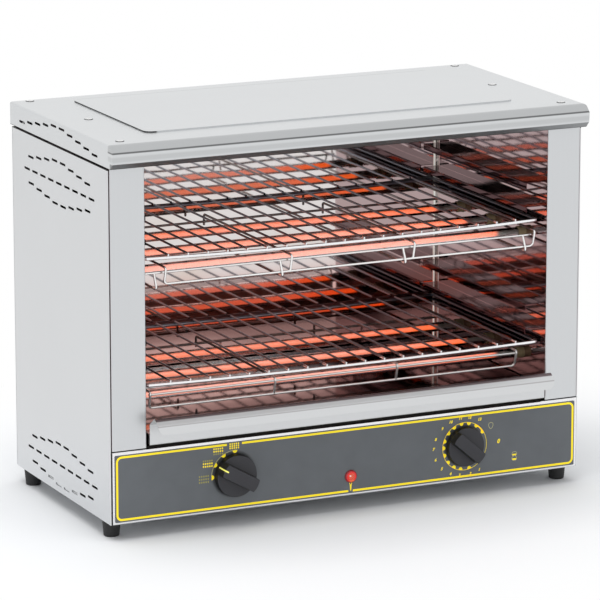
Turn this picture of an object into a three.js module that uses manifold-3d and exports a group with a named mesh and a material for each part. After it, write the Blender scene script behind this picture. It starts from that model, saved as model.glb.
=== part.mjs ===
// A wide bench toaster with two levels of bread racks between three rows of quartz tubes.
// Millimetres, +Z up, +X to the right as seen from the front, +Y into the depth.
// Sizes are measured from the front plane of the posts (y = 0) and from the bench (z = 0).
// The finished group is moved so that the middle of its footprint is the origin.
import * as THREE from "three";
import { mergeVertices } from "three/addons/utils/BufferGeometryUtils.js";
import Module from "manifold-3d";

const wasm = await Module();
wasm.setup();

// Sheet metal and fits
const sheet = 0.8;
const seat_gap = 0.3;
const running_gap = 0.1;
const cut_overrun = 2;
const weld_sink = 0.35;
const fold_radius = 1.6;
const fold_steps = 3;
const weld_tolerance = 1e-4;

// Body
const cover_width = 640;
const side_reach = 0.8;
const body_depth = 308.5;
const foot_height = 21;
const side_height = 436.5;
const side_setback = 1.7;
const hem_depth = 6;
const rear_flange = 12;
const post_slit = 0.7;
const post_width = 44.9;
const post_return = 14;

// Control compartment
const control_height = 90.6;
const control_flange = 15;
const overlay_thickness = 0.5;
const overlay_side_margin = 2.9;
const overlay_top_margin = 4.1;
const overlay_bottom_margin = 3;
const overlay_corner = 1.2;
const overlay_corner_steps = 2;
const pan_edge = 12;
const deck_edge = 10;

// Top cover
const cover_slit = 2.5;
const skirt_height = 28.5;
const cover_rear_reach = 3.7;
const cover_fold = 2.5;
const brow_reach = 8;
const brow_radius = 9;
const nose_reach = 17.8;
const nose_drop = 9.2;
const nose_foot_reach = 16.7;
const nose_foot_drop = 21.3;
const nose_radius = 2.5;
const nose_return = 9.6;
const nose_steps = 6;
const emboss_height = 1.5;
const emboss_corner = 10;
const emboss_corner_steps = 5;
const emboss_side_margin = 71;
const emboss_front_margin = 48;
const emboss_rear_margin = 30;

// Louvres
const louvre_length = 18.6;
const louvre_height = 3;
const louvre_pitch = 26;
const louvre_step = 3.3;
const louvre_row_pitch = 26.5;
const louvre_end_steps = 3;
const louvre_low_height = 35.5;
const louvre_high_drop = 44.5;
const skirt_louvre_drop = 6.2;
const long_row_slots = 9;
const short_row_slots = 8;
const skirt_row_slots = 10;

// Toasting chamber
const back_wall_inset = 4;
const back_corner = 3;
const back_corner_flat = 1.2;
const ceiling_drop = 8.5;
const ceiling_edge = 6;
const chamber_front_gap = 3;
const rail_width = 21;
const rail_flange = 8;
const rail_front = 17.2;
const rail_low_lift = 19.8;
const rail_high_lift = 50.3;

// Crumb tray
const tray_lift = 3.4;
const tray_side_gap = 2.7;
const tray_rear_gap = 5.5;
const tray_wall = 14;
const tray_fascia_reach = 3.3;
const tray_fascia_height = 26;
const tray_lip_reach = 15.5;
const tray_lip_rise = 10.4;
const tray_nose_reach = 9.5;
const tray_nose_drop = 7.4;
const tray_grip_reach = 2.3;
const tray_grip_drop = 10.4;
const tray_bend = 3;
const tray_grip_corner = 9.5;
const tray_corner_steps = 5;
const runner_width = 12;
const runner_inset = 20;
const runner_end_gap = 8;

// Bread racks
const frame_wire = 4.5;
const rack_wire = 2.8;
const rack_bars = 19;
const rack_side_gap = 6.9;
const rack_edge_gap = 29.75;
const rack_rear_gap = 3.7;
const rack_corner = 4;
const rack_overhang = 1.4;
const upper_rack_height = 229;
const lower_rack_height = 73.7;
const upper_rack_front = 16.2;
const lower_rack_front = 11.9;
const frame_sides = 8;
const wire_sides = 6;
const bend_steps = 4;

// Quartz tubes
const tube_diameter = 12;
const tube_low_height = 48.5;
const tube_middle_height = 205;
const tube_high_drop = 11;
const tube_front = 62;
const tube_rear_gap = 75.5;
const ceramic_wall = 1.4;
const ceramic_reach = 10;
const ceramic_collar = 2.4;
const ceramic_collar_length = 4;
const ceramic_floor = 3;
const terminal_diameter = 4;
const terminal_length = 9;
const tube_sides = 10;

// Tube guards
const guard_wire = 3;
const guard_side_gap = 21.5;
const guard_bars = 4;
const guard_bend = 3;
const guard_corner = 5;
const guard_hook_drop = 21;
const guard_rod_lift = 19;
const guard_hook_slant = 6;
const guard_rod_slant = 9;
const guard_rod_overhang = 12.5;
const guard_offset = 12;
const guard_rise = 12;
const guard_sag = 2;
const guard_front = 9.5;
const low_guard_rise = 10.5;
const low_guard_front = 31.5;
const guard_tail = 1.5;
const guard_brace_drop = 3.7;

// Controls
const dial_height = 44.9;
const selector_inset = 160.9;
const timer_inset = 158.4;
const selector_diameter = 54;
const selector_bar_reach = 19.5;
const timer_diameter = 51;
const timer_bar_reach = 15.5;
const knob_standoff = 0.7;
const knob_disc_share = 0.36;
const knob_disc_taper_share = 0.97;
const knob_bar_taper_share = 0.93;
const knob_bar_width_share = 0.31;
const knob_sides = 32;
const selector_rest = 150;
const timer_rest = -41;
const spindle_diameter = 6;
const spindle_grip_share = 0.6;
const spindle_depth = 14;
const spindle_hole = 5;
const spindle_sides = 12;
const switch_width = 44;
const switch_wafer = 9;
const switch_wafers = 4;
const switch_groove = 2;
const switch_groove_depth = 3;
const timer_case_diameter = 52;
const timer_case_length = 24;
const timer_plate_width = 64;
const timer_plate_height = 46;
const plate_thickness = 2;
const boss_diameter = 18;
const boss_length = 8;

// Pilot lamp
const lamp_place = 0.5;
const lamp_height = 24.7;
const lamp_diameter = 16;
const lamp_dome = 4.2;
const lens_shoulder_share = 0.72;
const lamp_neck_diameter = 10;
const lamp_neck_length = 9;
const lamp_holder_wall = 3;
const lamp_holder_length = 22;
const lamp_sides = 16;

// Feet
const foot_inset = 12.7;
const foot_front = 30.5;
const foot_rear_inset = 23.1;
const foot_bottom_diameter = 19.2;
const foot_top_diameter = 23;
const foot_edge = 1.5;
const foot_stud_diameter = 6;
const foot_stud_length = 7;
const foot_sides = 20;

// Mains connection
const gland_inset = 67.2;
const gland_height = 34;
const gland_diameter = 24;
const gland_barrel_diameter = 16;
const gland_nut = 5;
const gland_reach = 14;
const gland_bore = 8;
const gland_mouth_diameter = 18;
const gland_sides = 6;
const terminal_poles = 5;
const terminal_pole_width = 12;
const terminal_block_depth = 22;
const terminal_block_height = 16;
const terminal_fin = 2;
const terminal_fin_height = 5;
const terminal_offset = 60;

// The tubes of one level, by name
const tube_rows = ["front", "centre", "rear"];

// Sizes worked out across the width
const cover_half = cover_width / 2;
const side_outer = cover_half - side_reach;
const side_inner = side_outer - sheet;
const front_half = side_outer - 2 * sheet - post_slit;
const inside_half = side_inner - seat_gap;
const chamber_half = front_half - post_width;
const tray_half = chamber_half - tray_side_gap;
const rack_half = chamber_half - rack_side_gap;
const rack_pitch = (2 * (rack_half - rack_edge_gap)) / (rack_bars - 1);
const guard_pitch = (2 * (chamber_half - guard_side_gap)) / (guard_bars - 1);
const selector_place = -(front_half - selector_inset);
const timer_place = front_half - timer_inset;
const gland_place = side_outer - gland_inset;

// Sizes worked out up the height
const body_bottom = foot_height;
const control_top = body_bottom + control_height;
const deck_bottom = control_top + seat_gap;
const deck_top = deck_bottom + sheet;
const wall_bottom = deck_top + seat_gap;
const body_top = body_bottom + side_height;
const skirt_bottom = body_top + cover_slit;
const cover_top = skirt_bottom + skirt_height;
const wall_top = cover_top - sheet - seat_gap;
const ceiling_bottom = cover_top - ceiling_drop;
const pan_bottom = body_bottom + seat_gap;
const dial_centre = body_bottom + dial_height;
const lamp_centre = body_bottom + lamp_height;
const tray_bottom = deck_top + tray_lift;
const upper_rack_centre = wall_bottom + upper_rack_height;
const lower_rack_centre = wall_bottom + lower_rack_height;
const tube_high_centre = ceiling_bottom - tube_high_drop;

// Sizes worked out into the depth
const cover_back = body_depth + cover_rear_reach;
const chamber_back = body_depth - back_wall_inset;
const inside_front = side_setback + hem_depth + seat_gap;
const inside_back = body_depth - sheet - seat_gap;
const rear_face = body_depth + seat_gap;
const rear_outer = rear_face + sheet;
const overlay_front = -(seat_gap + overlay_thickness);
const panel_back = sheet + seat_gap;
const back_flange_front = chamber_back - back_corner - back_corner_flat;
const louvre_centre = (side_setback + body_depth) / 2;
const foot_rear = body_depth - foot_rear_inset;
const rack_depth = chamber_back - upper_rack_front - rack_rear_gap;
const tube_pitch = (chamber_back - tube_front - tube_rear_gap) / (tube_rows.length - 1);

// One steel material for each piece, so that each can be finished by itself.
function steel(roughness) {
  return new THREE.MeshStandardMaterial({ color: 0xc9ccce, metalness: 1, roughness });
}

function plastic(color, roughness) {
  return new THREE.MeshStandardMaterial({ color, metalness: 0, roughness });
}

// A closed geometry as a solid that can be joined and cut.
function solidOf(geometry) {
  const bare = geometry.index ? geometry.toNonIndexed() : geometry.clone();
  bare.deleteAttribute("normal");
  bare.deleteAttribute("uv");
  const merged = mergeVertices(bare, weld_tolerance);
  return new wasm.Manifold(
    new wasm.Mesh({
      numProp: 3,
      vertProperties: merged.attributes.position.array,
      triVerts: new Uint32Array(merged.index.array),
    }),
  );
}

function joined(solids) {
  return solids.reduce((whole, next) => whole.add(next));
}

function meshOf(name, solid, material) {
  const made = solid.getMesh();
  const geometry = new THREE.BufferGeometry();
  geometry.setAttribute("position", new THREE.BufferAttribute(made.vertProperties, 3));
  geometry.setIndex(new THREE.BufferAttribute(made.triVerts, 1));
  const flat = geometry.toNonIndexed();
  flat.computeVertexNormals();
  const mesh = new THREE.Mesh(flat, material);
  mesh.name = name;
  return mesh;
}

function block(x_from, x_to, y_from, y_to, z_from, z_to) {
  const geometry = new THREE.BoxGeometry(x_to - x_from, y_to - y_from, z_to - z_from);
  geometry.translate((x_from + x_to) / 2, (y_from + y_to) / 2, (z_from + z_to) / 2);
  return solidOf(geometry);
}

// The three ways to carry an outline: across the width, into the depth and up.
const along_x = new THREE.Matrix4().makeBasis(
  new THREE.Vector3(0, 1, 0),
  new THREE.Vector3(0, 0, 1),
  new THREE.Vector3(1, 0, 0),
);
const along_y = new THREE.Matrix4().makeBasis(
  new THREE.Vector3(1, 0, 0),
  new THREE.Vector3(0, 0, 1),
  new THREE.Vector3(0, -1, 0),
);

function extruded(outline, length) {
  const shapes = outline[0] instanceof THREE.Shape ? outline : new THREE.Shape(outline);
  return new THREE.ExtrudeGeometry(shapes, { depth: length, bevelEnabled: false, steps: 1 });
}

// An outline of (y, z) points carried from one x to another.
function carriedX(outline, from, to) {
  return solidOf(extruded(outline, to - from).translate(0, 0, from).applyMatrix4(along_x));
}

// An outline of (x, z) points carried from one y to another.
function carriedY(outline, from, to) {
  return solidOf(extruded(outline, to - from).translate(0, 0, -to).applyMatrix4(along_y));
}

// An outline of (x, y) points carried from one z to another.
function carriedZ(outline, from, to) {
  return solidOf(extruded(outline, to - from).translate(0, 0, from));
}

// A line through corners [x, y, z, bend], with each corner that has a bend radius rounded by an arc.
function bentLine(corners, steps) {
  const points = [];
  corners.forEach(([x, y, z, bend], i) => {
    const here = new THREE.Vector3(x, y, z);
    if (!bend) {
      points.push(here);
      return;
    }
    const back = new THREE.Vector3(...corners[i - 1].slice(0, 3)).sub(here).normalize();
    const ahead = new THREE.Vector3(...corners[i + 1].slice(0, 3)).sub(here).normalize();
    const half = back.angleTo(ahead) / 2;
    const middle = back.clone().add(ahead).normalize();
    const centre = here.clone().addScaledVector(middle, bend / Math.sin(half));
    const start = here.clone().addScaledVector(back, bend / Math.tan(half)).sub(centre);
    const end = here.clone().addScaledVector(ahead, bend / Math.tan(half)).sub(centre);
    const turn = start.angleTo(end);
    for (let k = 0; k <= steps; k += 1) {
      const share = k / steps;
      const point = start.clone().multiplyScalar(Math.sin((1 - share) * turn) / Math.sin(turn));
      point.addScaledVector(end, Math.sin(share * turn) / Math.sin(turn));
      points.push(point.add(centre));
    }
  });
  return points;
}

// The same in a plane, for corners [u, v, bend].
function foldedLine(corners, steps = fold_steps) {
  const flat = corners.map(([u, v, bend = 0]) => [u, v, 0, bend]);
  return bentLine(flat, steps).map((point) => new THREE.Vector2(point.x, point.y));
}

// A line moved sideways to its left by a distance, with mitred corners.
function movedLeft(line, distance) {
  return line.map((point, i) => {
    const before = line[Math.max(i - 1, 0)];
    const after = line[Math.min(i + 1, line.length - 1)];
    const first = (i > 0 ? point.clone().sub(before) : after.clone().sub(point)).normalize();
    const second = (i < line.length - 1 ? after.clone().sub(point) : first.clone()).normalize();
    const first_side = new THREE.Vector2(-first.y, first.x);
    const second_side = new THREE.Vector2(-second.y, second.x);
    const scale = distance / (1 + first_side.dot(second_side));
    return point.clone().addScaledVector(first_side.add(second_side), scale);
  });
}

// The closed outline of a folded sheet whose one face follows the line.
// A positive thickness lies to the left of the line.
function sheetOutline(line, thickness = sheet) {
  return [...line, ...movedLeft(line, thickness).reverse()];
}

// A rectangle with its four corners rounded.
function roundedRectangle(u_from, u_to, v_from, v_to, corner, steps) {
  const centres = [
    [u_to - corner, v_to - corner],
    [u_from + corner, v_to - corner],
    [u_from + corner, v_from + corner],
    [u_to - corner, v_from + corner],
  ];
  return centres.flatMap(([u, v], quarter) =>
    Array.from({ length: steps + 1 }, (_, k) => {
      const angle = ((quarter + k / steps) * Math.PI) / 2;
      return new THREE.Vector2(u + corner * Math.cos(angle), v + corner * Math.sin(angle));
    }),
  );
}

// The outline of a slot with half-round ends.
function slotOutline(u, v, length, height) {
  const radius = height / 2;
  const reach = length / 2 - radius;
  const ends = [1, -1];
  return ends.flatMap((end) =>
    Array.from({ length: louvre_end_steps + 1 }, (_, k) => {
      const angle = end * -Math.PI / 2 + (k / louvre_end_steps) * Math.PI;
      return new THREE.Vector2(
        u + end * reach + radius * Math.cos(angle),
        v + radius * Math.sin(angle),
      );
    }),
  );
}

// A profile of [radius, distance] points turned about an axis through a place.
const axis_turns = {
  "+x": (geometry) => geometry.rotateZ(-Math.PI / 2),
  "-x": (geometry) => geometry.rotateZ(Math.PI / 2),
  "+y": (geometry) => geometry,
  "-y": (geometry) => geometry.rotateX(Math.PI),
  "+z": (geometry) => geometry.rotateX(Math.PI / 2),
};

function turned(profile, sides, axis, place) {
  const points = profile.map(([radius, distance]) => new THREE.Vector2(radius, distance));
  const closed = THREE.ShapeUtils.isClockWise(points) ? points.reverse() : points;
  const geometry = axis_turns[axis](new THREE.LatheGeometry(closed, sides));
  return solidOf(geometry.translate(...place));
}

function rod(radius, from, to, sides, axis, place) {
  const profile = [
    [0, from],
    [radius, from],
    [radius, to],
    [0, to],
  ];
  return turned(profile, sides, axis, place);
}

// A faceted hole clears a round piece when its flats do.
function holeRadius(radius, gap, sides) {
  return (radius + gap) / Math.cos(Math.PI / sides);
}

// The distance from the middle of a faceted wire to its flats.
function flatRadius(diameter, sides) {
  return (diameter / 2) * Math.cos(Math.PI / sides);
}

// A route that passes through its points one by one, for a section to be carried along.
class WireRoute extends THREE.Curve {
  constructor(points) {
    super();
    this.points = points;
  }

  getPointAt(share) {
    const last = this.points.length - 1;
    return this.points[Math.round(share * last)].clone();
  }

  getTangentAt(share) {
    const last = this.points.length - 1;
    const i = Math.round(share * last);
    const here = this.points[i];
    const before = i > 0 ? here.clone().sub(this.points[i - 1]).normalize() : new THREE.Vector3();
    const after = i < last ? this.points[i + 1].clone().sub(here).normalize() : new THREE.Vector3();
    return before.add(after).normalize();
  }
}

function wire(corners, diameter, sides) {
  const points = bentLine(corners, bend_steps);
  const section = Array.from({ length: sides }, (_, k) => {
    const angle = ((k + 0.5) / sides) * 2 * Math.PI;
    return new THREE.Vector2(Math.cos(angle), Math.sin(angle)).multiplyScalar(diameter / 2);
  });
  const geometry = new THREE.ExtrudeGeometry(new THREE.Shape(section), {
    steps: points.length - 1,
    extrudePath: new WireRoute(points),
  });
  return solidOf(geometry);
}

// The rows of louvres: short slots that climb from both ends to the middle, or fall, or run level.
function louvreRow(count, centre_height, step) {
  const middle = (count - 1) / 2;
  return Array.from({ length: count }, (_, k) => {
    const from_middle = Math.abs(k - middle);
    const level = from_middle - (count % 2 ? 0 : 0.5);
    return new THREE.Shape(
      slotOutline(
        louvre_centre + (k - middle) * louvre_pitch,
        centre_height - level * step,
        louvre_length,
        louvre_height,
      ),
    );
  });
}

function louvreGroup(centre_height) {
  return [
    ...louvreRow(short_row_slots, centre_height + louvre_row_pitch, louvre_step),
    ...louvreRow(long_row_slots, centre_height, 0),
    ...louvreRow(short_row_slots, centre_height - louvre_row_pitch, -louvre_step),
  ];
}

// A side panel: a hemmed front edge, a flat with two groups of louvres and a rear flange.
function sidePanel(side) {
  const outer = side * side_outer;
  const hem_inner = side * (side_outer - 2 * sheet);
  const hem_back = side_setback + hem_depth;
  const hem = [
    [outer, hem_back],
    [outer, side_setback, sheet],
    [hem_inner, side_setback, sheet],
    [hem_inner, hem_back],
  ];
  const flat = [
    [outer, hem_back - weld_sink],
    [outer, body_depth, fold_radius],
    [side * (side_outer - rear_flange), body_depth],
  ];
  const flat_outline = sheetOutline(foldedLine(flat), side * sheet);
  const panel = carriedZ(foldedLine(hem), body_bottom, body_top).add(
    carriedZ(flat_outline, body_bottom, body_top),
  );
  const slots = [
    ...louvreGroup(body_bottom + louvre_low_height),
    ...louvreGroup(body_top - louvre_high_drop),
  ];
  const near = side_inner - cut_overrun;
  const far = side_outer + cut_overrun;
  const cutter = side > 0 ? carriedX(slots, near, far) : carriedX(slots, -far, -near);
  return panel.subtract(cutter);
}

// The top cover: a lid whose front edge rolls over into a bullnose of three flats and back under
// itself.
function topCover() {
  const outer_line = foldedLine(
    [
      [cover_back, skirt_bottom],
      [cover_back, cover_top, cover_fold],
      [-brow_reach, cover_top, brow_radius],
      [-nose_reach, cover_top - nose_drop, nose_radius],
      [-nose_foot_reach, cover_top - nose_foot_drop, nose_radius],
      [-nose_return, skirt_bottom],
    ],
    nose_steps,
  );
  const inner_line = movedLeft(outer_line, sheet);
  const inner_front = inner_line[inner_line.length - 1];
  const hollow_outline = [
    new THREE.Vector2(cover_back - sheet, skirt_bottom - cut_overrun),
    ...inner_line,
    new THREE.Vector2(inner_front.x, skirt_bottom - cut_overrun),
  ];
  const lid = (half, top, corner) =>
    foldedLine([
      [-half, skirt_bottom - 2 * cut_overrun],
      [-half, top, corner],
      [half, top, corner],
      [half, skirt_bottom - 2 * cut_overrun],
    ]);
  const front = -nose_reach - cut_overrun;
  const back = cover_back + cut_overrun;
  const shell = carriedX(outer_line, -cover_half, cover_half).intersect(
    carriedY(lid(cover_half, cover_top, cover_fold), front, back),
  );
  const inner_half = cover_half - sheet;
  const hollow = carriedX(hollow_outline, -inner_half, inner_half).intersect(
    carriedY(lid(inner_half, cover_top - sheet, cover_fold - sheet), front, back),
  );
  const raised = (inset, from, to) =>
    carriedZ(
      roundedRectangle(
        -cover_half + emboss_side_margin + inset,
        cover_half - emboss_side_margin - inset,
        emboss_front_margin + inset,
        cover_back - emboss_rear_margin - inset,
        emboss_corner - inset,
        emboss_corner_steps,
      ),
      from,
      to,
    );
  const emboss_top = cover_top + emboss_height;
  const slots = louvreRow(skirt_row_slots, cover_top - skirt_louvre_drop, louvre_step);
  return shell
    .subtract(hollow)
    .add(raised(0, cover_top - sheet, emboss_top))
    .subtract(raised(sheet, cover_top - sheet - cut_overrun, emboss_top - sheet))
    .subtract(carriedX(slots, -cover_half - cut_overrun, cover_half + cut_overrun));
}

// The rear cover: a plain plate over the side panels' rear flanges, with the gland's hole.
function rearCover() {
  const half = side_outer - seat_gap;
  const plate = block(-half, half, rear_face, rear_outer, pan_bottom, body_top - seat_gap);
  const hole = holeRadius(gland_barrel_diameter / 2, seat_gap, knob_sides);
  const from = rear_face - cut_overrun;
  const to = rear_outer + cut_overrun;
  return plate.subtract(rod(hole, from, to, knob_sides, "+y", gland_axis));
}

// The bottom pan: a plate with four upturned edges and a hole for each foot's stud.
function basePan() {
  const front = inside_front;
  const half = side_inner - seat_gap;
  const plan = (inset) => [
    new THREE.Vector2(-half + inset, front + inset),
    new THREE.Vector2(half - inset, front + inset),
    new THREE.Vector2(half - inset, inside_back - inset),
    new THREE.Vector2(-half + inset, inside_back - inset),
  ];
  const pan = carriedZ(plan(0), pan_bottom, pan_bottom + pan_edge).subtract(
    carriedZ(plan(sheet), pan_bottom + sheet, pan_bottom + pan_edge + cut_overrun),
  );
  const hole = holeRadius(foot_stud_diameter / 2, seat_gap, foot_sides);
  const low = pan_bottom - cut_overrun;
  const high = pan_bottom + sheet + cut_overrun;
  const holes = foot_places.map(([, place]) => rod(hole, low, high, foot_sides, "+z", place));
  return pan.subtract(joined(holes));
}

// The control panel: a face with a flange turned back along its top and its bottom.
function controlPanel() {
  const line = foldedLine([
    [inside_front - 2 * seat_gap, body_bottom],
    [0, body_bottom, fold_radius],
    [0, control_top, fold_radius],
    [control_flange, control_top],
  ]);
  const face = carriedX(sheetOutline(line, -sheet), -front_half, front_half);
  return face.subtract(controlHoles(-cut_overrun, sheet + cut_overrun));
}

function controlOverlay() {
  const half = front_half - overlay_side_margin;
  const outline = roundedRectangle(
    -half,
    half,
    body_bottom + overlay_bottom_margin,
    control_top - overlay_top_margin,
    overlay_corner,
    overlay_corner_steps,
  );
  const plate = carriedY(outline, overlay_front, -seat_gap);
  return plate.subtract(controlHoles(overlay_front - cut_overrun, cut_overrun));
}

function controlHoles(from, to) {
  const lamp_hole = holeRadius(lamp_neck_diameter / 2, seat_gap, lamp_sides);
  return joined([
    rod(spindle_hole, from, to, spindle_sides, "+y", [selector_place, 0, dial_centre]),
    rod(spindle_hole, from, to, spindle_sides, "+y", [timer_place, 0, dial_centre]),
    rod(lamp_hole, from, to, lamp_sides, "+y", [lamp_place, 0, lamp_centre]),
  ]);
}

// The deck between the controls and the toasting chamber, with two pressed runners for the tray.
function deck() {
  const line = foldedLine([
    [-inside_half, deck_bottom - deck_edge],
    [-inside_half, deck_top, fold_radius],
    [inside_half, deck_top, fold_radius],
    [inside_half, deck_bottom - deck_edge],
  ]);
  const plate = carriedY(sheetOutline(line, -sheet), inside_front, inside_back);
  const runner_front = inside_front + runner_end_gap;
  const runner_back = chamber_back - tray_rear_gap - runner_end_gap;
  const runner_top = tray_bottom - seat_gap;
  const runner_outer = tray_half - runner_inset;
  const runners = [-1, 1].map((side) => {
    const middle = side * (runner_outer - runner_width / 2);
    const from = middle - runner_width / 2;
    const to = middle + runner_width / 2;
    const lean = runner_top - deck_top;
    const outline = [
      new THREE.Vector2(from - lean, deck_top - weld_sink),
      new THREE.Vector2(to + lean, deck_top - weld_sink),
      new THREE.Vector2(to, runner_top),
      new THREE.Vector2(from, runner_top),
    ];
    return carriedY(outline, runner_front, runner_back);
  });
  return joined([plate, ...runners]);
}

// A side wall of the chamber: mirror sheet that turns outward at the front into the post's face
// and back again, with holes for the three rows of tubes. Each rack has three rails: it slides on
// the first, a plain ledge, the second holds it down, and the third is for a second height. These
// two have a flange along their free edge.
function chamberWall(side) {
  const line = foldedLine([
    [side * chamber_half, back_flange_front - seat_gap],
    [side * chamber_half, 0, fold_radius],
    [side * front_half, 0, fold_radius],
    [side * front_half, post_return],
  ]);
  const wall = carriedZ(sheetOutline(line, side * sheet), wall_bottom, wall_top);
  const rails = [upper_rack_centre, lower_rack_centre].flatMap((centre) =>
    [0, rail_low_lift, rail_high_lift].map((lift) => {
      const top = centre - frame_wire / 2 - seat_gap + lift;
      const free_edge = side * (chamber_half - rail_width);
      const ledge = [[side * (chamber_half + weld_sink), top]];
      const section = lift
        ? foldedLine([...ledge, [free_edge, top, fold_radius], [free_edge, top - rail_flange]])
        : foldedLine([...ledge, [free_edge, top]]);
      const outline = sheetOutline(section, side * sheet);
      return carriedY(outline, rail_front, back_flange_front - seat_gap);
    }),
  );
  const hole = holeRadius(tube_diameter / 2 + ceramic_wall, seat_gap, tube_sides);
  const holes = tube_places.map(([, y, z]) =>
    rod(hole, -cut_overrun, sheet + cut_overrun, tube_sides, side > 0 ? "+x" : "-x", [
      side * chamber_half,
      y,
      z,
    ]),
  );
  return joined([wall, ...rails]).subtract(joined(holes));
}

// The back wall of the chamber, wrapped round both rear corners, with holes for the guards' tails.
function chamberBack() {
  const line = foldedLine([
    [-chamber_half, back_flange_front],
    [-chamber_half, chamber_back, back_corner],
    [chamber_half, chamber_back, back_corner],
    [chamber_half, back_flange_front],
  ]);
  const wall = carriedZ(sheetOutline(line, sheet), wall_bottom, wall_top);
  const hole = holeRadius(guard_wire / 2, seat_gap, wire_sides);
  const holes = guard_designs.flatMap(({ first, height }) =>
    guardBars(first).map((x) =>
      rod(hole, -cut_overrun, sheet + cut_overrun, wire_sides, "+y", [x, chamber_back, height]),
    ),
  );
  return wall.subtract(joined(holes));
}

// The ceiling: a polished plate with its edges turned up to the cover and the walls.
function chamberCeiling() {
  const half = chamber_half - seat_gap;
  const plan = (inset) => [
    new THREE.Vector2(-half + inset, chamber_front_gap + inset),
    new THREE.Vector2(half - inset, chamber_front_gap + inset),
    new THREE.Vector2(half - inset, back_flange_front - seat_gap - inset),
    new THREE.Vector2(-half + inset, back_flange_front - seat_gap - inset),
  ];
  const top = ceiling_bottom + ceiling_edge;
  return carriedZ(plan(0), ceiling_bottom, top).subtract(
    carriedZ(plan(sheet), ceiling_bottom + sheet, top + cut_overrun),
  );
}

// The crumb tray: one folded sheet for floor, fascia and grip, with side walls and a back wall.
function crumbTray() {
  const fascia = -tray_fascia_reach;
  const fascia_top = tray_bottom + tray_fascia_height;
  const lip = fascia - tray_lip_reach;
  const lip_top = fascia_top + tray_lip_rise;
  const nose = lip - tray_nose_reach;
  const nose_height = lip_top - tray_nose_drop;
  const grip = nose - tray_grip_reach;
  const grip_end = nose_height - tray_grip_drop;
  const back = chamber_back - tray_rear_gap;
  const line = foldedLine([
    [back, tray_bottom],
    [fascia, tray_bottom, fold_radius],
    [fascia, fascia_top, tray_bend],
    [lip, lip_top, tray_bend],
    [nose, nose_height, tray_bend],
    [grip, grip_end],
  ]);
  const folded = carriedX(sheetOutline(line, -sheet), -tray_half, tray_half);
  const wall_top_line = tray_bottom + tray_wall;
  const middle_line = movedLeft(
    foldedLine([
      [back, tray_bottom],
      [fascia, tray_bottom, fold_radius],
      [fascia, wall_top_line],
    ]),
    -sheet / 2,
  );
  const cheek = [...middle_line, new THREE.Vector2(back, wall_top_line)];
  const floor_middle = tray_bottom + sheet / 2;
  const walls = [
    carriedX(cheek, -tray_half, -tray_half + sheet),
    carriedX(cheek, tray_half - sheet, tray_half),
    block(-tray_half, tray_half, back - sheet, back, floor_middle, wall_top_line),
  ];
  const corner_from = grip - cut_overrun;
  const corner_to = fascia - sheet - cut_overrun;
  const corners = [-1, 1].map((side) => {
    const edge = side * tray_half;
    const centre_x = edge - side * tray_grip_corner;
    const centre_z = grip_end + tray_grip_corner;
    const arc = Array.from({ length: tray_corner_steps + 1 }, (_, k) => {
      const angle = (k / tray_corner_steps) * (Math.PI / 2);
      return new THREE.Vector2(
        centre_x + side * tray_grip_corner * Math.cos(angle),
        centre_z - tray_grip_corner * Math.sin(angle),
      );
    });
    const outside = [
      new THREE.Vector2(centre_x, grip_end - cut_overrun),
      new THREE.Vector2(edge + side * cut_overrun, grip_end - cut_overrun),
      new THREE.Vector2(edge + side * cut_overrun, centre_z),
    ];
    return carriedY([...arc, ...outside], corner_from, corner_to);
  });
  return joined([folded, ...walls]).subtract(joined(corners));
}

// A bread rack: a bent frame closed by a rear wire, with bars laid on top from front to back.
function breadRack(front, centre) {
  const half = rack_half;
  const back = front + rack_depth;
  const frame = wire(
    [
      [-half, back, centre],
      [-half, front, centre, rack_corner],
      [half, front, centre, rack_corner],
      [half, back, centre],
    ],
    frame_wire,
    frame_sides,
  );
  const rear = wire(
    [
      [-half - frame_wire / 2, back, centre],
      [half + frame_wire / 2, back, centre],
    ],
    frame_wire,
    frame_sides,
  );
  const bar_height =
    centre + flatRadius(frame_wire, frame_sides) + flatRadius(rack_wire, wire_sides) - weld_sink;
  const bars = Array.from({ length: rack_bars }, (_, k) => {
    const x = (k - (rack_bars - 1) / 2) * rack_pitch;
    const corners = [
      [x, front - rack_overhang, bar_height],
      [x, back + rack_overhang, bar_height],
    ];
    return wire(corners, rack_wire, wire_sides);
  });
  return joined([frame, rear, ...bars]);
}

function guardBars(first) {
  return Array.from({ length: guard_bars }, (_, k) => first + k * guard_pitch);
}

// A guard keeps bread off a row of tubes: bars run back to holes in the back wall, and their front
// ends bend over the front tube, up or down, to a cross wire. A brace is a second cross wire, just
// under the bars and behind their bent ends.
function tubeGuard({ first, height, front, corners, brace_drop }) {
  const tail = chamber_back + sheet + guard_tail;
  const bars = guardBars(first);
  const last = bars[bars.length - 1];
  const rod_height = corners ? height - guard_hook_drop : height + guard_rod_lift;
  const slant = corners ? guard_hook_slant : guard_rod_slant;
  const rod_front = front + slant;
  const bar = (x) => {
    const route = [
      [x, tail, height],
      [x, front, height, guard_bend],
      [x, rod_front, rod_height],
    ];
    return wire(route, guard_wire, wire_sides);
  };
  if (!corners) {
    const ends = [
      [first - guard_rod_overhang, rod_front, rod_height],
      [last + guard_rod_overhang, rod_front, rod_height],
    ];
    return joined([wire(ends, guard_wire, wire_sides), ...bars.map(bar)]);
  }
  const loop = [
    [first, tail, height],
    [first, front, height, guard_bend],
    [first, rod_front, rod_height, guard_corner],
    [last, rod_front, rod_height, guard_corner],
    [last, front, height, guard_bend],
    [last, tail, height],
  ];
  const brace_front = front + (slant * brace_drop) / guard_hook_drop + guard_wire - weld_sink;
  const brace_ends = [
    [first, brace_front, height - brace_drop],
    [last, brace_front, height - brace_drop],
  ];
  const braces = brace_drop > 0 ? [wire(brace_ends, guard_wire, wire_sides)] : [];
  return joined([
    wire(loop, guard_wire, wire_sides),
    ...bars.slice(1, -1).map(bar),
    ...braces,
  ]);
}

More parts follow.
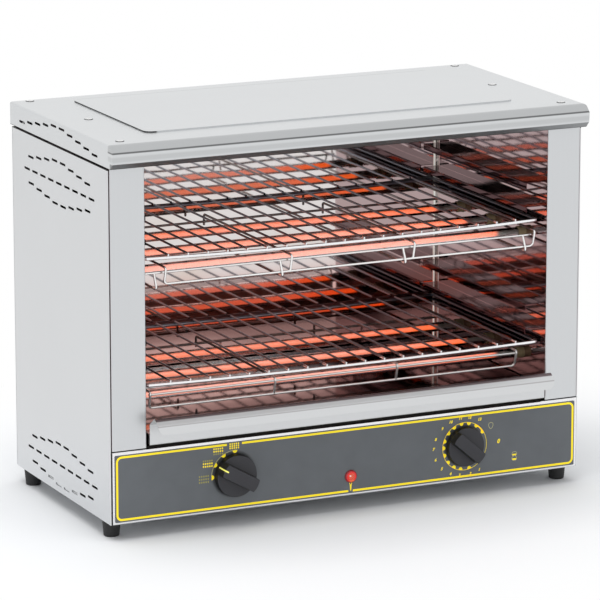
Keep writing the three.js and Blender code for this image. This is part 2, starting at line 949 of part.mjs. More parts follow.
// A quartz tube, open at both ends, and the ceramic end that holds it in the wall.
function quartzTube([, y, z]) {
  const half = chamber_half - seat_gap;
  const outer = tube_diameter / 2;
  const inner = outer - ceramic_wall;
  const profile = [
    [inner, -half],
    [outer, -half],
    [outer, half],
    [inner, half],
    [inner, -half],
  ];
  return turned(profile, tube_sides, "+x", [0, y, z]);
}

function ceramicEnd(side, [, y, z]) {
  const bore = holeRadius(tube_diameter / 2, seat_gap, tube_sides);
  const outer = tube_diameter / 2 + ceramic_wall;
  const collar = outer + ceramic_collar;
  const shoulder = ceramic_reach + sheet + seat_gap;
  const end = shoulder + ceramic_collar_length;
  const profile = [
    [0, ceramic_reach],
    [bore, ceramic_reach],
    [bore, 0],
    [outer, 0],
    [outer, shoulder],
    [collar, shoulder],
    [collar, end],
    [terminal_diameter / 2, end],
    [terminal_diameter / 2, end + terminal_length],
    [0, end + terminal_length],
  ];
  const place = [side * (chamber_half - ceramic_reach), y, z];
  return turned(profile, tube_sides, side > 0 ? "+x" : "-x", place);
}

// A knob: a shallow tapered disc with a grip bar across it, and a blind bore for its spindle.
function knob(diameter, bar_reach, place_x, rest_angle) {
  const radius = diameter / 2;
  const disc = bar_reach * knob_disc_share;
  const bar_radius = radius * knob_bar_taper_share;
  const half_bar = (diameter * knob_bar_width_share) / 2;
  const disc_profile = [
    [0, 0],
    [radius, 0],
    [radius * knob_disc_taper_share, disc],
    [0, disc],
  ];
  const cone_profile = [
    [0, 0],
    [radius, 0],
    [bar_radius, bar_reach],
    [0, bar_reach],
  ];
  const centre = [0, 0, 0];
  const cone = turned(cone_profile, knob_sides, "-y", centre);
  const bar = cone.intersect(
    block(-radius, radius, -bar_reach - cut_overrun, cut_overrun, -half_bar, half_bar),
  );
  const bore = holeRadius(spindle_diameter / 2, seat_gap, spindle_sides);
  const bore_end = bar_reach * spindle_grip_share + seat_gap;
  const solid = turned(disc_profile, knob_sides, "-y", centre)
    .add(bar)
    .subtract(rod(bore, -cut_overrun, bore_end, spindle_sides, "-y", centre));
  return (name) => {
    const mesh = meshOf(name, solid, plastic(0x3a3a3d, 0.45));
    mesh.position.set(place_x, overlay_front - knob_standoff, dial_centre);
    mesh.rotation.y = -THREE.MathUtils.degToRad(rest_angle);
    return mesh;
  };
}

// A spindle from the knob's bore into the bore of the switch or timer behind the panel.
function spindle(place_x, bar_reach) {
  const grip = overlay_front - knob_standoff - bar_reach * spindle_grip_share;
  const end = panel_back + spindle_depth;
  return rod(spindle_diameter / 2, grip, end, spindle_sides, "+y", [place_x, 0, dial_centre]);
}

function spindleBore(place_x) {
  const bore = holeRadius(spindle_diameter / 2, running_gap, spindle_sides);
  const end = panel_back + spindle_depth + seat_gap;
  return rod(bore, -cut_overrun, end, spindle_sides, "+y", [place_x, 0, dial_centre]);
}

// The rotary switch: a fixing plate and a stack of square wafers with grooves between them.
function selectorSwitch() {
  const half = switch_width / 2;
  const waist = half - switch_groove_depth;
  const length = switch_wafers * (switch_wafer + switch_groove);
  const square = (reach) => [
    new THREE.Vector2(selector_place - reach, dial_centre - reach),
    new THREE.Vector2(selector_place + reach, dial_centre - reach),
    new THREE.Vector2(selector_place + reach, dial_centre + reach),
    new THREE.Vector2(selector_place - reach, dial_centre + reach),
  ];
  const plate_back = panel_back + plate_thickness;
  const core = carriedY(square(waist), panel_back, plate_back + length);
  const plate = carriedY(square(half), panel_back, plate_back);
  const wafers = Array.from({ length: switch_wafers }, (_, k) => {
    const back = plate_back + (k + 1) * (switch_wafer + switch_groove);
    return carriedY(square(half), back - switch_wafer, back);
  });
  return joined([core, plate, ...wafers]).subtract(spindleBore(selector_place));
}

// The timer: a fixing plate with a boss on a round clockwork case.
function timerBody() {
  const plate_back = panel_back + plate_thickness;
  const boss_end = plate_back + boss_length;
  const centre = [timer_place, 0, dial_centre];
  const plate = block(
    timer_place - timer_plate_width / 2,
    timer_place + timer_plate_width / 2,
    panel_back,
    plate_back,
    dial_centre - timer_plate_height / 2,
    dial_centre + timer_plate_height / 2,
  );
  const profile = [
    [0, panel_back],
    [boss_diameter / 2, panel_back],
    [boss_diameter / 2, boss_end],
    [timer_case_diameter / 2, boss_end],
    [timer_case_diameter / 2, boss_end + timer_case_length],
    [0, boss_end + timer_case_length],
  ];
  const works = turned(profile, foot_sides, "+y", centre);
  return plate.add(works).subtract(spindleBore(timer_place));
}

function pilotLens() {
  const front = -overlay_front + seat_gap;
  const radius = lamp_diameter / 2;
  const profile = [
    [0, -lamp_neck_length],
    [lamp_neck_diameter / 2, -lamp_neck_length],
    [lamp_neck_diameter / 2, front],
    [radius, front],
    [radius, front + lamp_dome / 3],
    [radius * lens_shoulder_share, front + (2 * lamp_dome) / 3],
    [0, front + lamp_dome],
  ];
  return turned(profile, lamp_sides, "-y", [lamp_place, 0, lamp_centre]);
}

function lampHolder() {
  const bore = holeRadius(lamp_neck_diameter / 2, seat_gap, lamp_sides);
  const outer = lamp_neck_diameter / 2 + lamp_holder_wall;
  const floor = lamp_neck_length + seat_gap;
  const profile = [
    [bore, panel_back],
    [outer, panel_back],
    [outer, panel_back + lamp_holder_length],
    [0, panel_back + lamp_holder_length],
    [0, floor],
    [bore, floor],
    [bore, panel_back],
  ];
  return turned(profile, lamp_sides, "+y", [lamp_place, 0, lamp_centre]);
}

// A moulded foot with a stud up through the bottom pan.
function foot(place) {
  const bottom = foot_bottom_diameter / 2;
  const top = foot_top_diameter / 2;
  const stud = foot_stud_diameter / 2;
  const profile = [
    [0, 0],
    [bottom - foot_edge, 0],
    [bottom, foot_edge],
    [top, foot_height],
    [stud, foot_height],
    [stud, foot_height + foot_stud_length],
    [0, foot_height + foot_stud_length],
  ];
  return turned(profile, foot_sides, "+z", place);
}

// The cable gland: a nut inside, a barrel through the rear cover and a nut outside with the mouth.
function cableGland() {
  const barrel = gland_barrel_diameter / 2;
  const nut = gland_diameter / 2;
  const inner = rear_face - seat_gap;
  const outer = rear_outer + seat_gap;
  const body = rod(barrel, inner - gland_nut, rear_outer + gland_reach / 2, knob_sides, "+y", gland_axis);
  const inner_nut = rod(nut, inner - gland_nut, inner, gland_sides, "+y", gland_axis);
  const outer_nut = rod(nut, outer, outer + gland_nut, gland_sides, "+y", gland_axis);
  const mouth = gland_mouth_diameter / 2;
  const dome_profile = [
    [0, outer + gland_nut - weld_sink],
    [mouth, outer + gland_nut - weld_sink],
    [mouth, outer + (gland_nut + gland_reach) / 2],
    [(mouth + gland_bore / 2) / 2, rear_outer + gland_reach],
    [0, rear_outer + gland_reach],
  ];
  const dome = turned(dome_profile, knob_sides, "+y", gland_axis);
  const from = inner - gland_nut - cut_overrun;
  const to = rear_outer + gland_reach + cut_overrun;
  const bore = rod(gland_bore / 2, from, to, spindle_sides, "+y", gland_axis);
  return joined([body, inner_nut, outer_nut, dome]).subtract(bore);
}

// The terminal block on the bottom pan, with fins between its poles.
function terminalBlock() {
  const width = terminal_poles * terminal_pole_width;
  const left = gland_place - width + terminal_pole_width;
  const back = inside_back - terminal_offset;
  const front = back - terminal_block_depth;
  const bottom = pan_bottom + sheet + seat_gap;
  const top = bottom + terminal_block_height;
  const base = block(left, left + width, front, back, bottom, top);
  const fins = Array.from({ length: terminal_poles + 1 }, (_, k) => {
    const x = left + (k * (width - terminal_fin)) / terminal_poles;
    return block(x, x + terminal_fin, front, back, top - weld_sink, top + terminal_fin_height);
  });
  return joined([base, ...fins]);
}

// Places that several pieces share
const gland_axis = [gland_place, 0, body_bottom + gland_height];
const foot_x = side_outer - foot_inset;
const foot_places = [
  ["front_left", [-foot_x, foot_front, 0]],
  ["front_right", [foot_x, foot_front, 0]],
  ["rear_left", [-foot_x, foot_rear, 0]],
  ["rear_right", [foot_x, foot_rear, 0]],
];
const tube_levels = [
  ["lower", wall_bottom + tube_low_height],
  ["middle", wall_bottom + tube_middle_height],
  ["upper", tube_high_centre],
];
const tube_places = tube_levels.flatMap(([level, z]) =>
  tube_rows.map((row, k) => [level + "_" + row, tube_front + k * tube_pitch, z]),
);
const guard_length = (guard_bars - 1) * guard_pitch;
const middle_height = wall_bottom + tube_middle_height;
const guard_designs = [
  {
    name: "middle_upper_guard",
    first: -guard_length / 2 + guard_offset - guardCentreShift(),
    height: middle_height + guard_rise,
    front: guard_front,
    corners: true,
    brace_drop: 0,
  },
  {
    name: "middle_lower_guard",
    first: -guard_length / 2 - guardCentreShift(),
    height: middle_height - guard_rise - guard_sag,
    front: guard_front,
    corners: false,
    brace_drop: 0,
  },
  {
    name: "lower_guard",
    first: -guard_length / 2 - guardCentreShift(),
    height: wall_bottom + tube_low_height + low_guard_rise,
    front: low_guard_front,
    corners: true,
    brace_drop: guard_brace_drop,
  },
  {
    name: "upper_guard",
    first: -guard_length / 2 - guardCentreShift(),
    height: tube_high_centre - guard_rise,
    front: guard_front,
    corners: false,
    brace_drop: 0,
  },
];

// The guards sit a little to the left of the middle, so that a pair clears each other's hooks.
function guardCentreShift() {
  return guard_offset / 6;
}

const toaster = new THREE.Group();
const add = (name, solid, material) => toaster.add(meshOf(name, solid, material));

add("base_pan", basePan(), steel(0.45));
add("left_side_panel", sidePanel(-1), steel(0.35));
add("right_side_panel", sidePanel(1), steel(0.35));
add("rear_cover", rearCover(), steel(0.4));
add("top_cover", topCover(), steel(0.35));
add("control_panel", controlPanel(), steel(0.3));
add("control_overlay", controlOverlay(), plastic(0x5d6266, 0.5));
add("chamber_floor", deck(), steel(0.2));
add("chamber_left_wall", chamberWall(-1), steel(0.15));
add("chamber_right_wall", chamberWall(1), steel(0.15));
add("chamber_back_wall", chamberBack(), steel(0.1));
add("chamber_ceiling", chamberCeiling(), steel(0.1));
add("crumb_tray", crumbTray(), steel(0.25));
add("upper_rack", breadRack(upper_rack_front, upper_rack_centre), steel(0.1));
add("lower_rack", breadRack(lower_rack_front, lower_rack_centre), steel(0.1));
guard_designs.forEach((design) => add(design.name, tubeGuard(design), steel(0.15)));
tube_places.forEach((place) => {
  const glass = new THREE.MeshStandardMaterial({
    color: 0xf2a58c,
    emissive: 0xff5a2a,
    emissiveIntensity: 0.6,
    roughness: 0.3,
  });
  add(place[0] + "_tube", quartzTube(place), glass);
  add(place[0] + "_left_ceramic", ceramicEnd(-1, place), plastic(0x8d8668, 0.7));
  add(place[0] + "_right_ceramic", ceramicEnd(1, place), plastic(0x8d8668, 0.7));
});
toaster.add(knob(selector_diameter, selector_bar_reach, selector_place, selector_rest)("selector_knob"));
toaster.add(knob(timer_diameter, timer_bar_reach, timer_place, timer_rest)("timer_knob"));
add("selector_spindle", spindle(selector_place, selector_bar_reach), steel(0.4));
add("timer_spindle", spindle(timer_place, timer_bar_reach), steel(0.4));
add("selector_switch", selectorSwitch(), plastic(0x2c2c30, 0.6));
add("timer_body", timerBody(), plastic(0xb9bcc0, 0.5));
add("pilot_lens", pilotLens(), plastic(0xd2261c, 0.15));
add("lamp_holder", lampHolder(), plastic(0x1c1c1e, 0.6));
foot_places.forEach(([name, place]) => add(name + "_foot", foot(place), plastic(0x151515, 0.8)));
add("cable_gland", cableGland(), plastic(0x1c1c1e, 0.5));
add("terminal_block", terminalBlock(), plastic(0xe8e4d8, 0.5));

// The footprint runs from the tray's grip to the gland's mouth, and its middle is the origin.
const grip_lean = tray_grip_drop / Math.hypot(tray_grip_reach, tray_grip_drop);
const grip_reach = tray_fascia_reach + tray_lip_reach + tray_nose_reach + tray_grip_reach;
const grip_front = -(grip_reach + sheet * grip_lean);
const gland_back = rear_outer + gland_reach;
toaster.position.y = -(grip_front + gland_back) / 2;

export default toaster;
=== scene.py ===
# %% [markdown]
# # A two-level bench toaster
#
# A catering toaster is mostly folded stainless sheet: a lid with a rolled front edge, two posts,
# two side panels with louvres, and a mirror-polished chamber with glowing quartz tubes inside.
# The solids come packed from the CAD step. This lesson dresses them: some nodes only get a
# finish, and others, such as wires, knobs and tubes, are made again with smooth surfaces.

import math

import bpy
import numpy as np
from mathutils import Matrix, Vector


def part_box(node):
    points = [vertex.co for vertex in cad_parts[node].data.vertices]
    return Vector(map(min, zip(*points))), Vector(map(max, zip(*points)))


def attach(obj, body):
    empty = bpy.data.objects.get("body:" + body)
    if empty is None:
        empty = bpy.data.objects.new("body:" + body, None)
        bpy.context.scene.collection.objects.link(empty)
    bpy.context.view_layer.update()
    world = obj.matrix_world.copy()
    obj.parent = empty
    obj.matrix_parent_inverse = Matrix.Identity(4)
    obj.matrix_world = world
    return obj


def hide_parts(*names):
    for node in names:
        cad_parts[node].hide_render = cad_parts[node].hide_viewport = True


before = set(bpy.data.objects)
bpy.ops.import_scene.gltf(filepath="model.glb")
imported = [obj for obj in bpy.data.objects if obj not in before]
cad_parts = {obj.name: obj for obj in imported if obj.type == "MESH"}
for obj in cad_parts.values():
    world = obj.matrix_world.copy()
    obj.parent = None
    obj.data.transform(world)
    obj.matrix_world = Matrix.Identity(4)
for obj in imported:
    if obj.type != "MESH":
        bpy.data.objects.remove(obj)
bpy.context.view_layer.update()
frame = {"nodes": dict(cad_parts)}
nodes = frame["nodes"]


def add_to_scene(name, data):
    """A new object that shows this data, linked to the scene."""
    item = bpy.data.objects.new(name, data)
    bpy.context.scene.collection.objects.link(item)
    return item


# %% [markdown]
# ## Measures
#
# Blender works in metres. The toaster is easier to think of in millimetres, measured from the
# front face of the posts (y = 0) and from the bench (z = 0). Each shape could be worked out in
# metres, but then every number would carry three zeros, so one function takes finished points to
# the frame.

# %% Millimetres to the frame
FRONT_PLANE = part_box("control_panel")[0].y
FRONT_PLANE_MM = FRONT_PLANE * 1000


def placed(points):
    """Millimetres from the posts' face, as an (n, 3) array, become metres in the model's frame."""
    metres = np.asarray(points, float) * 0.001
    metres[:, 1] += FRONT_PLANE
    return metres


def node_box_mm(name):
    """The lowest and highest corner of a node, in the toaster's own millimetres."""
    corners = np.array([tuple(corner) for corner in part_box(name)])
    corners[:, 1] -= FRONT_PLANE
    return corners * 1000


LID_LOW = node_box_mm("top_cover")[0][2]
SIDE_HIGH = node_box_mm("left_side_panel")[1][2]
REAR_FACE = node_box_mm("rear_cover")[1][1]
print("the lid's seam lies between", SIDE_HIGH, "and", LID_LOW, "mm")

# %% [markdown]
# ## The camera
#
# A long lens from the left and a little above, as the picture was taken: the verticals stay
# almost parallel. It could be placed by eye, but the values were worked out from the corners of
# the body, so that the render and the picture can be laid over each other.

# %% Camera
LENS = 255.75
CAMERA_PLACE = (-2.2148, FRONT_PLANE - 4.5635, 1.4547)
LOOK_DOWN, LOOK_RIGHT = 13.159, 25.192

camera_data = bpy.data.cameras.new("camera")
camera_data.sensor_width = 36
camera_data.lens = LENS
camera_data.clip_start = 0.5
camera_data.clip_end = 60
camera = add_to_scene("camera", camera_data)
camera.location = CAMERA_PLACE
camera.rotation_euler = (math.radians(90 - LOOK_DOWN), 0, math.radians(-LOOK_RIGHT))
bpy.context.scene.camera = camera
print("lens", camera_data.lens)

# %% [markdown]
# ## Shader maths as Python
#
# A material is a small formula over the surface. Its nodes could be added one by one, but the
# formula would be lost among them. This class wraps a socket, so that `1 - mask * 0.3` adds the
# Math nodes by itself. Everything else is added by one method, `add`.


# %% A number that a shader works out
class Number:
    """A shader value with Python's operators."""

    def __init__(self, nodes, socket):
        self.nodes = nodes
        self.socket = socket

    def maths(self, operation, *values):
        """A Math node; the number itself is its first value when only others are given."""
        values = values if self in values else (self, *values)
        node = self.nodes.add("ShaderNodeMath", {"operation": operation}, dict(enumerate(values)))
        return Number(self.nodes, node.outputs[0])

    def __add__(self, other):
        return self.maths("ADD", self, other)

    __radd__ = __add__

    def __sub__(self, other):
        return self.maths("SUBTRACT", self, other)

    def __rsub__(self, other):
        return self.maths("SUBTRACT", other, self)

    def __mul__(self, other):
        return self.maths("MULTIPLY", self, other)

    __rmul__ = __mul__

    def size(self):
        return self.maths("ABSOLUTE", self)

    def wave(self):
        return self.maths("SINE", self)

    def root(self):
        return self.maths("SQRT", self)

    def step(self, low, high):
        """0 below low, 1 above high, and a smooth rise between them."""
        settings = {"interpolation_type": "SMOOTHSTEP"}
        values = {"Value": self, "From Min": low, "From Max": high}
        node = self.nodes.add("ShaderNodeMapRange", settings, values)
        return Number(self.nodes, node.outputs["Result"])

    def between(self, start, full, until, end):
        """0 up to start, 1 from full until until, and 0 again from end."""
        return self.step(start, full) * (1 - self.step(until, end))


# %% Nodes
class Nodes:
    """A node tree, and the means to add nodes to it."""

    def __init__(self, tree):
        self.tree = tree

    def link(self, value, socket):
        """Link a number or a socket to a socket, or set a constant on it."""
        if isinstance(value, Number):
            value = value.socket
        if isinstance(value, bpy.types.NodeSocket):
            self.tree.links.new(value, socket)
        elif socket.type == "RGBA" and len(value) == 3:
            socket.default_value = (*value, 1)
        else:
            socket.default_value = value

    def add(self, kind, settings=None, values=None):
        """Add a node of a kind: first its settings, then the values or links of its sockets."""
        node = self.tree.nodes.new(kind)
        for name, value in (settings or {}).items():
            setattr(node, name, value)
        for name, value in (values or {}).items():
            self.link(value, node.inputs[name])
        return node

    def rays(self, *kinds):
        """1 for a ray of any of these kinds."""
        outputs = self.add("ShaderNodeLightPath").outputs
        seen = Number(self, outputs[kinds[0]])
        for kind in kinds[1:]:
            seen = seen.maths("MAXIMUM", Number(self, outputs[kind]))
        return seen

    def place(self, scale=(1, 1, 1)):
        """The place on the piece in metres, stretched by a Mapping node."""
        here = self.add("ShaderNodeTexCoord").outputs["Object"]
        values = {"Vector": here, "Scale": scale}
        return self.add("ShaderNodeMapping", None, values).outputs["Vector"]

    def axes(self):
        """The three coordinates of the place, in metres."""
        here = self.add("ShaderNodeTexCoord").outputs["Object"]
        parts = self.add("ShaderNodeSeparateXYZ", None, {"Vector": here})
        return [Number(self, parts.outputs[axis]) for axis in "XYZ"]

    def spot(self):
        """How far the place is across, behind the posts' face and above the bench, in mm."""
        across, depth, height = (metres * 1000 for metres in self.axes())
        return across, depth - FRONT_PLANE_MM, height

    def noise(self, place, scale, detail=3.0, roughness=0.5):
        values = {"Vector": place, "Scale": scale, "Detail": detail, "Roughness": roughness}
        return Number(self, self.add("ShaderNodeTexNoise", None, values).outputs["Fac"])

    def blend(self, factor, first, second):
        """A colour between two colours."""
        values = {"Factor": factor, 6: first, 7: second}
        return self.add("ShaderNodeMix", {"data_type": "RGBA"}, values).outputs[2]


# %% A material
class Shader(Nodes):
    """A material with a Principled BSDF, whose constants are set on its own sockets."""

    def __init__(self, name, **constants):
        self.material = bpy.data.materials.new(name)
        self.material.use_nodes = True
        super().__init__(self.material.node_tree)
        self.surface = self.tree.nodes["Principled BSDF"]
        for socket, value in constants.items():
            self.set(socket.replace("_", " "), value)

    def set(self, socket, value):
        self.link(value, self.surface.inputs[socket])

    def bump(self, height, distance, strength):
        values = {"Height": height, "Distance": distance, "Strength": strength}
        self.set("Normal", self.add("ShaderNodeBump", None, values).outputs["Normal"])


BLACK = (0.0, 0.0, 0.0)


def srgb(red, green, blue):
    """A colour picked from a screen, 0 to 255, as the linear values that a shader uses."""
    share = np.array([red, green, blue]) / 255
    linear = np.where(share <= 0.04045, share / 12.92, ((share + 0.055) / 1.055) ** 2.4)
    return tuple(float(value) for value in linear)


def tinted(colour, red, green, blue):
    """A colour with each of its channels multiplied, and held under 1."""
    return tuple(min(1.0, channel * tint) for channel, tint in zip(colour, (red, green, blue)))


def what_is_left(*shades):
    """The share of a colour that is left under several shades, each a mask and its strength."""
    share = 1.0
    for mask, strength in shades:
        share = share * (1 - mask * strength)
    return share


print("shader tools ready")

# %% [markdown]
# ## Stainless steel, satin
#
# The outer sheets are ground with a belt, which leaves fine scratches in one direction. An
# anisotropic shader could spread the reflection along them, but it needs a direction on every
# face. A noise that is stretched a hundred times draws the scratches themselves: it moves the
# roughness a little and is also a very low bump. Two wider noises keep the reflection from being
# dead flat.


# %% Satin steel
def satin_steel(name, colour, grain, roughness=0.34, shading=None):
    """Brushed steel whose scratches run along the axis called grain.

    A shading function takes the shader and gives the share of the colour left under painted shade.
    """
    shader = Shader(name, Metallic=1.0)
    scales = tuple(9.0 if axis == grain else 900.0 for axis in "xyz")
    scratches = shader.noise(shader.place(scales), 1.0, 2.0, 0.6)
    broad = shader.noise(shader.place(), 5.0, 2.0)
    smudges = shader.noise(shader.place(), 38.0, 4.0, 0.6)
    dim, bright = tinted(colour, 0.955, 0.955, 0.955), tinted(colour, 1.03, 1.03, 1.03)
    ground = shader.blend(scratches * 0.5 + broad * 0.5, dim, bright)
    if shading:
        ground = shader.blend(shading(shader), BLACK, ground)
    shader.set("Base Color", ground)
    shader.set("Roughness", roughness - 0.05 + scratches * 0.08 + smudges * 0.04)
    shader.bump(scratches, 0.00002, 0.5)
    return shader.material


def lid_shading(shader):
    """Painted shade and painted reflection on the lid: its rolled front gets a darker upper flat,
    a painted dark line at the crease, a darker middle band and a dark underside, for the dark
    surroundings that it reflects and the shade under it. The raised field's step gets a painted
    dark line on its left and a fainter one at its rear, and the hem gets a painted shadow."""
    across, depth, height = shader.spot()
    nose = 1 - depth.step(-5, -1)
    upper = nose * height.step(479.5, 481)
    crease = nose * height.between(478.8, 479.6, 480.6, 481.4)
    middle = nose * (1 - upper) * height.between(467.5, 471, 474, 477)
    under = (1 - height.step(466.2, 467.4)) * depth.between(-17.2, -16.6, -9, -8)
    left_step = height.between(488.55, 488.65, 489.85, 489.97) * (1 - across.step(-237, -233))
    rear_step = height.step(489.6, 489.8) * depth.between(280.6, 281.0, 282.4, 282.6)
    hem = 1 - height.step(LID_LOW + 0.5, LID_LOW + 0.7)
    front = ((upper, 0.25), (crease, 0.72), (middle, 0.16), (under, 0.6))
    return what_is_left(*front, (left_step, 0.98), (rear_step, 0.3), (hem, 0.95))


def side_shading(shader):
    """Painted shadow: the side's top fold is darkened, where it turns into the shadow of the lid.
    """
    height = shader.spot()[2]
    return what_is_left((height.step(SIDE_HIGH - 0.9, SIDE_HIGH - 0.7), 0.95))


def trim_shading(shader):
    """Painted shade: behind its front skin the control panel is darkened, as it lies in the dark.
    """
    return what_is_left((shader.spot()[1].step(0.6, 0.9), 0.98))


lid_steel = satin_steel("lid_steel", (0.665, 0.68, 0.69), "x", 0.3, lid_shading)
panel_steel = satin_steel("panel_steel", (0.70, 0.71, 0.72), "z", 0.4, side_shading)
trim_steel = satin_steel("trim_steel", (0.88, 0.88, 0.89), "x", 0.25, trim_shading)
screw_steel = satin_steel("screw_steel", (0.8, 0.8, 0.8), "x", 0.25)
zinc_plate = satin_steel("zinc_plate", (0.6, 0.62, 0.64), "x", 0.4)
print("satin finishes made")

# %% [markdown]
# ## Stainless steel, mirror polished
#
# The chamber throws the heat back, so it is polished. A real sheet is never a perfect mirror: it
# is a little wavy, hazy from cleaning, and straw coloured where a tube has heated it.
#
# The side sheets turn outward at the front and become the posts, and the crumb tray becomes its
# grip. There the same sheet is satin. The sheet could be cut in two pieces with a material each,
# but it is one sheet, so a mask along the depth changes from one finish to the other.


# %% Mirror steel
# Colours that masks darken the polished sheets towards. The first darkens the rails, and on the
# tray it gives a painted dark reflection. The second is a painted reflection of the tubes' orange
# glow on the lower back wall.
DARK_MAROON = (0.06, 0.012, 0.016)
GLOW_BROWN = (0.62, 0.16, 0.10)


def mirror_steel(
    name, colour, roughness, satin=None, satin_side=0.0, shading=None, dark=DARK_MAROON, cut=None
):
    """Polished steel with slow waves, haze and straw patches.

    With a satin colour, the sheet is satin in front of the depth satin_side, in millimetres.
    A shading function gives the share of the colour that is left at a place, where the rest is the
    colour dark, and a cut function is 1 where the sheet is cut away.
    """
    shader = Shader(name, Metallic=1.0)
    waves = shader.noise(shader.place((3.0, 3.0, 5.0)), 2.2, 1.0)
    haze = shader.noise(shader.place(), 26.0, 4.0, 0.65)
    warm = shader.noise(shader.place((1.0, 1.0, 2.4)), 7.0, 2.0)
    polished = shader.blend(warm.step(0.5, 0.85), colour, tinted(colour, 0.93, 0.87, 0.80))
    shine = roughness + haze * 0.03
    height = waves * 0.0006
    if satin:
        front = 1 - shader.spot()[1].step(satin_side - 0.1, satin_side + 0.1)
        scratches = shader.noise(shader.place((900.0, 900.0, 9.0)), 1.0, 2.0, 0.6)
        brushed = shader.blend(scratches, tinted(satin, 0.96, 0.96, 0.96), satin)
        polished = shader.blend(front, polished, brushed)
        shine = shine + front * (0.3 + scratches * 0.08)
        height = height * (1 - front) + scratches * front * 0.00002
    if shading:
        polished = shader.blend(shading(shader), dark, polished)
    if cut:
        shader.set("Alpha", 1 - cut(shader))
    shader.set("Base Color", polished)
    shader.set("Roughness", shine)
    shader.bump(height, 1.0, 0.6)
    return shader.material


# %% What darkens the polished sheets
def rail_shading(shader):
    """The rails reach 21 mm out from the walls, and their colour is darkened almost to a dark
    maroon.
    """
    across, depth, _ = shader.spot()
    rails = (1 - across.size().step(271.1, 271.5)) * depth.step(1.2, 1.6)
    return what_is_left((rails, 0.95))


def rail_cut(shader):
    """The left rails start 30 mm deeper than the right ones."""
    across, depth, _ = shader.spot()
    return across.between(-271.5, -271.1, -240, -230) * (1 - depth.step(47.5, 48))


def back_shading(shader):
    """Painted reflection: behind the lower tubes the wall is darkened towards a warm brown, for the
    tubes' orange glow that it reflects.
    """
    return what_is_left((1 - shader.spot()[2].step(205, 262), 0.55))


def tray_shading(shader):
    """Painted reflection and shade. The grip's upper flat is painted dark for the dark chamber that
    it reflects near its rear edge, a fainter painted dark line follows the fold below it, and the
    room is reflected below that. A painted shadow darkens the gap under the tray. Inside, a painted
    dark reflection darkens the tray under the front tubes and towards the right."""
    across, depth, height = shader.spot()
    grip = 1 - depth.step(-18.6, -18.4)
    inside = depth.step(-2.4, -1.8)
    band = grip * height.step(149.4, 150.6) * 0.82
    fold = grip * height.between(143.9, 144.6, 145.3, 146.0) * 0.35
    gap = depth.between(-3.0, -2.4, 12, 14) * (1 - height.step(117.5, 118.5))
    # Painted dark reflection inside the tray, under the front tubes and more to the right.
    painted_dark = inside * (1 - depth.step(125, 180)) * (across.step(-240, -60) * 0.55 + 0.45)
    right = inside * across.step(-30, 90)
    return what_is_left((band + fold, 1), (gap, 0.9), (painted_dark, 0.8), (right, 0.7))


mirror_back = mirror_steel(
    "mirror_back", (0.72, 0.68, 0.67), 0.02, shading=back_shading, dark=GLOW_BROWN
)
# The side walls' colour is tinted towards maroon: a painted reflection of the tubes' glow.
mirror_side = mirror_steel(
    "mirror_side", (0.54, 0.42, 0.43), 0.02, (0.66, 0.675, 0.69), 1.1, rail_shading, cut=rail_cut
)
mirror_floor = mirror_steel("mirror_floor", (0.12, 0.115, 0.11), 0.15)
tray_steel = mirror_steel(
    "tray_steel", (0.66, 0.68, 0.69), 0.04, (0.69, 0.70, 0.71), 2.0, tray_shading
)
print("mirror finishes made")

# %% [markdown]
# ## Plastics, rubber and ceramic
#
# Moulded parts take a fine grain from the mould. It could be modelled, but at a tenth of a
# millimetre it would need millions of faces, so it is a small bump with a matching change of
# roughness. Unglazed steatite is matt, tan and speckled, and printing ink is almost smooth.


# %% Moulded finishes
def moulded(
    name, colour, roughness, grain=1600.0, depth=0.00006, spread=1.25, shading=None, light=0.0
):
    """Plastic or rubber with a grain that is 1 / grain metres wide. Light is a painted glow that it
    gives off itself, though it is no lamp."""
    shader = Shader(name, Metallic=0.0)
    grains = shader.noise(shader.place(), grain, 2.0, 0.6)
    worn = shader.noise(shader.place(), 45.0, 3.0)
    lighter = tuple(min(1.0, channel * spread + 0.002) for channel in colour)
    ground = shader.blend(worn, colour, lighter)
    if shading:
        ground = shader.blend(shading(shader), BLACK, ground)
    shader.set("Base Color", ground)
    if light:
        shader.set("Emission Color", ground)
        shader.set("Emission Strength", light)
    shader.set("Roughness", roughness - 0.06 + grains * 0.08 + worn * 0.05)
    shader.bump(grains, depth, 0.6)
    return shader.material


def ink(name, colour, light, spread=1.03, roughness=0.5):
    """Printing ink, almost smooth, with a painted glow of strength light."""
    return moulded(name, srgb(*colour), roughness, 2400.0, 0.00001, spread, light=light)


# The inks glow a little: painted light that brightens the print and the pointer.
print_yellow = ink("print_yellow", (250, 224, 24), 0.28)
print_pale = ink("print_pale", (180, 176, 130), 0.1, 1.05)
print_dim = ink("print_dim", (156, 150, 80), 0.1, 1.05)
pointer_pale = ink("pointer_pale", (250, 245, 120), 0.3)
# The corner's pale line glows more: a painted highlight.
painted_corner_highlight = ink("painted_corner_highlight", (240, 238, 230), 0.6, roughness=0.4)
foot_black = moulded("foot_black", srgb(30, 30, 31), 0.62)
case_black = moulded("case_black", srgb(30, 30, 32), 0.5)
terminal_white = moulded("terminal_white", (0.8, 0.78, 0.7), 0.5)
ceramic_tan = moulded("ceramic_tan", (0.26, 0.2, 0.11), 0.72, 900.0, 0.00012)
ceiling_grey = moulded("ceiling_grey", srgb(126, 118, 122), 0.5)
print("moulded finishes made")

# %% The knobs' plastic, and the film around them
SELECTOR = {"place": (-156.0, 65.9), "degrees": 150, "radius": 27.0, "disc": 7.02, "bar": 19.5}
TIMER = {"place": (158.5, 65.9), "degrees": -41, "radius": 25.5, "disc": 5.58, "bar": 15.5}
BAR_SHARE = 0.31


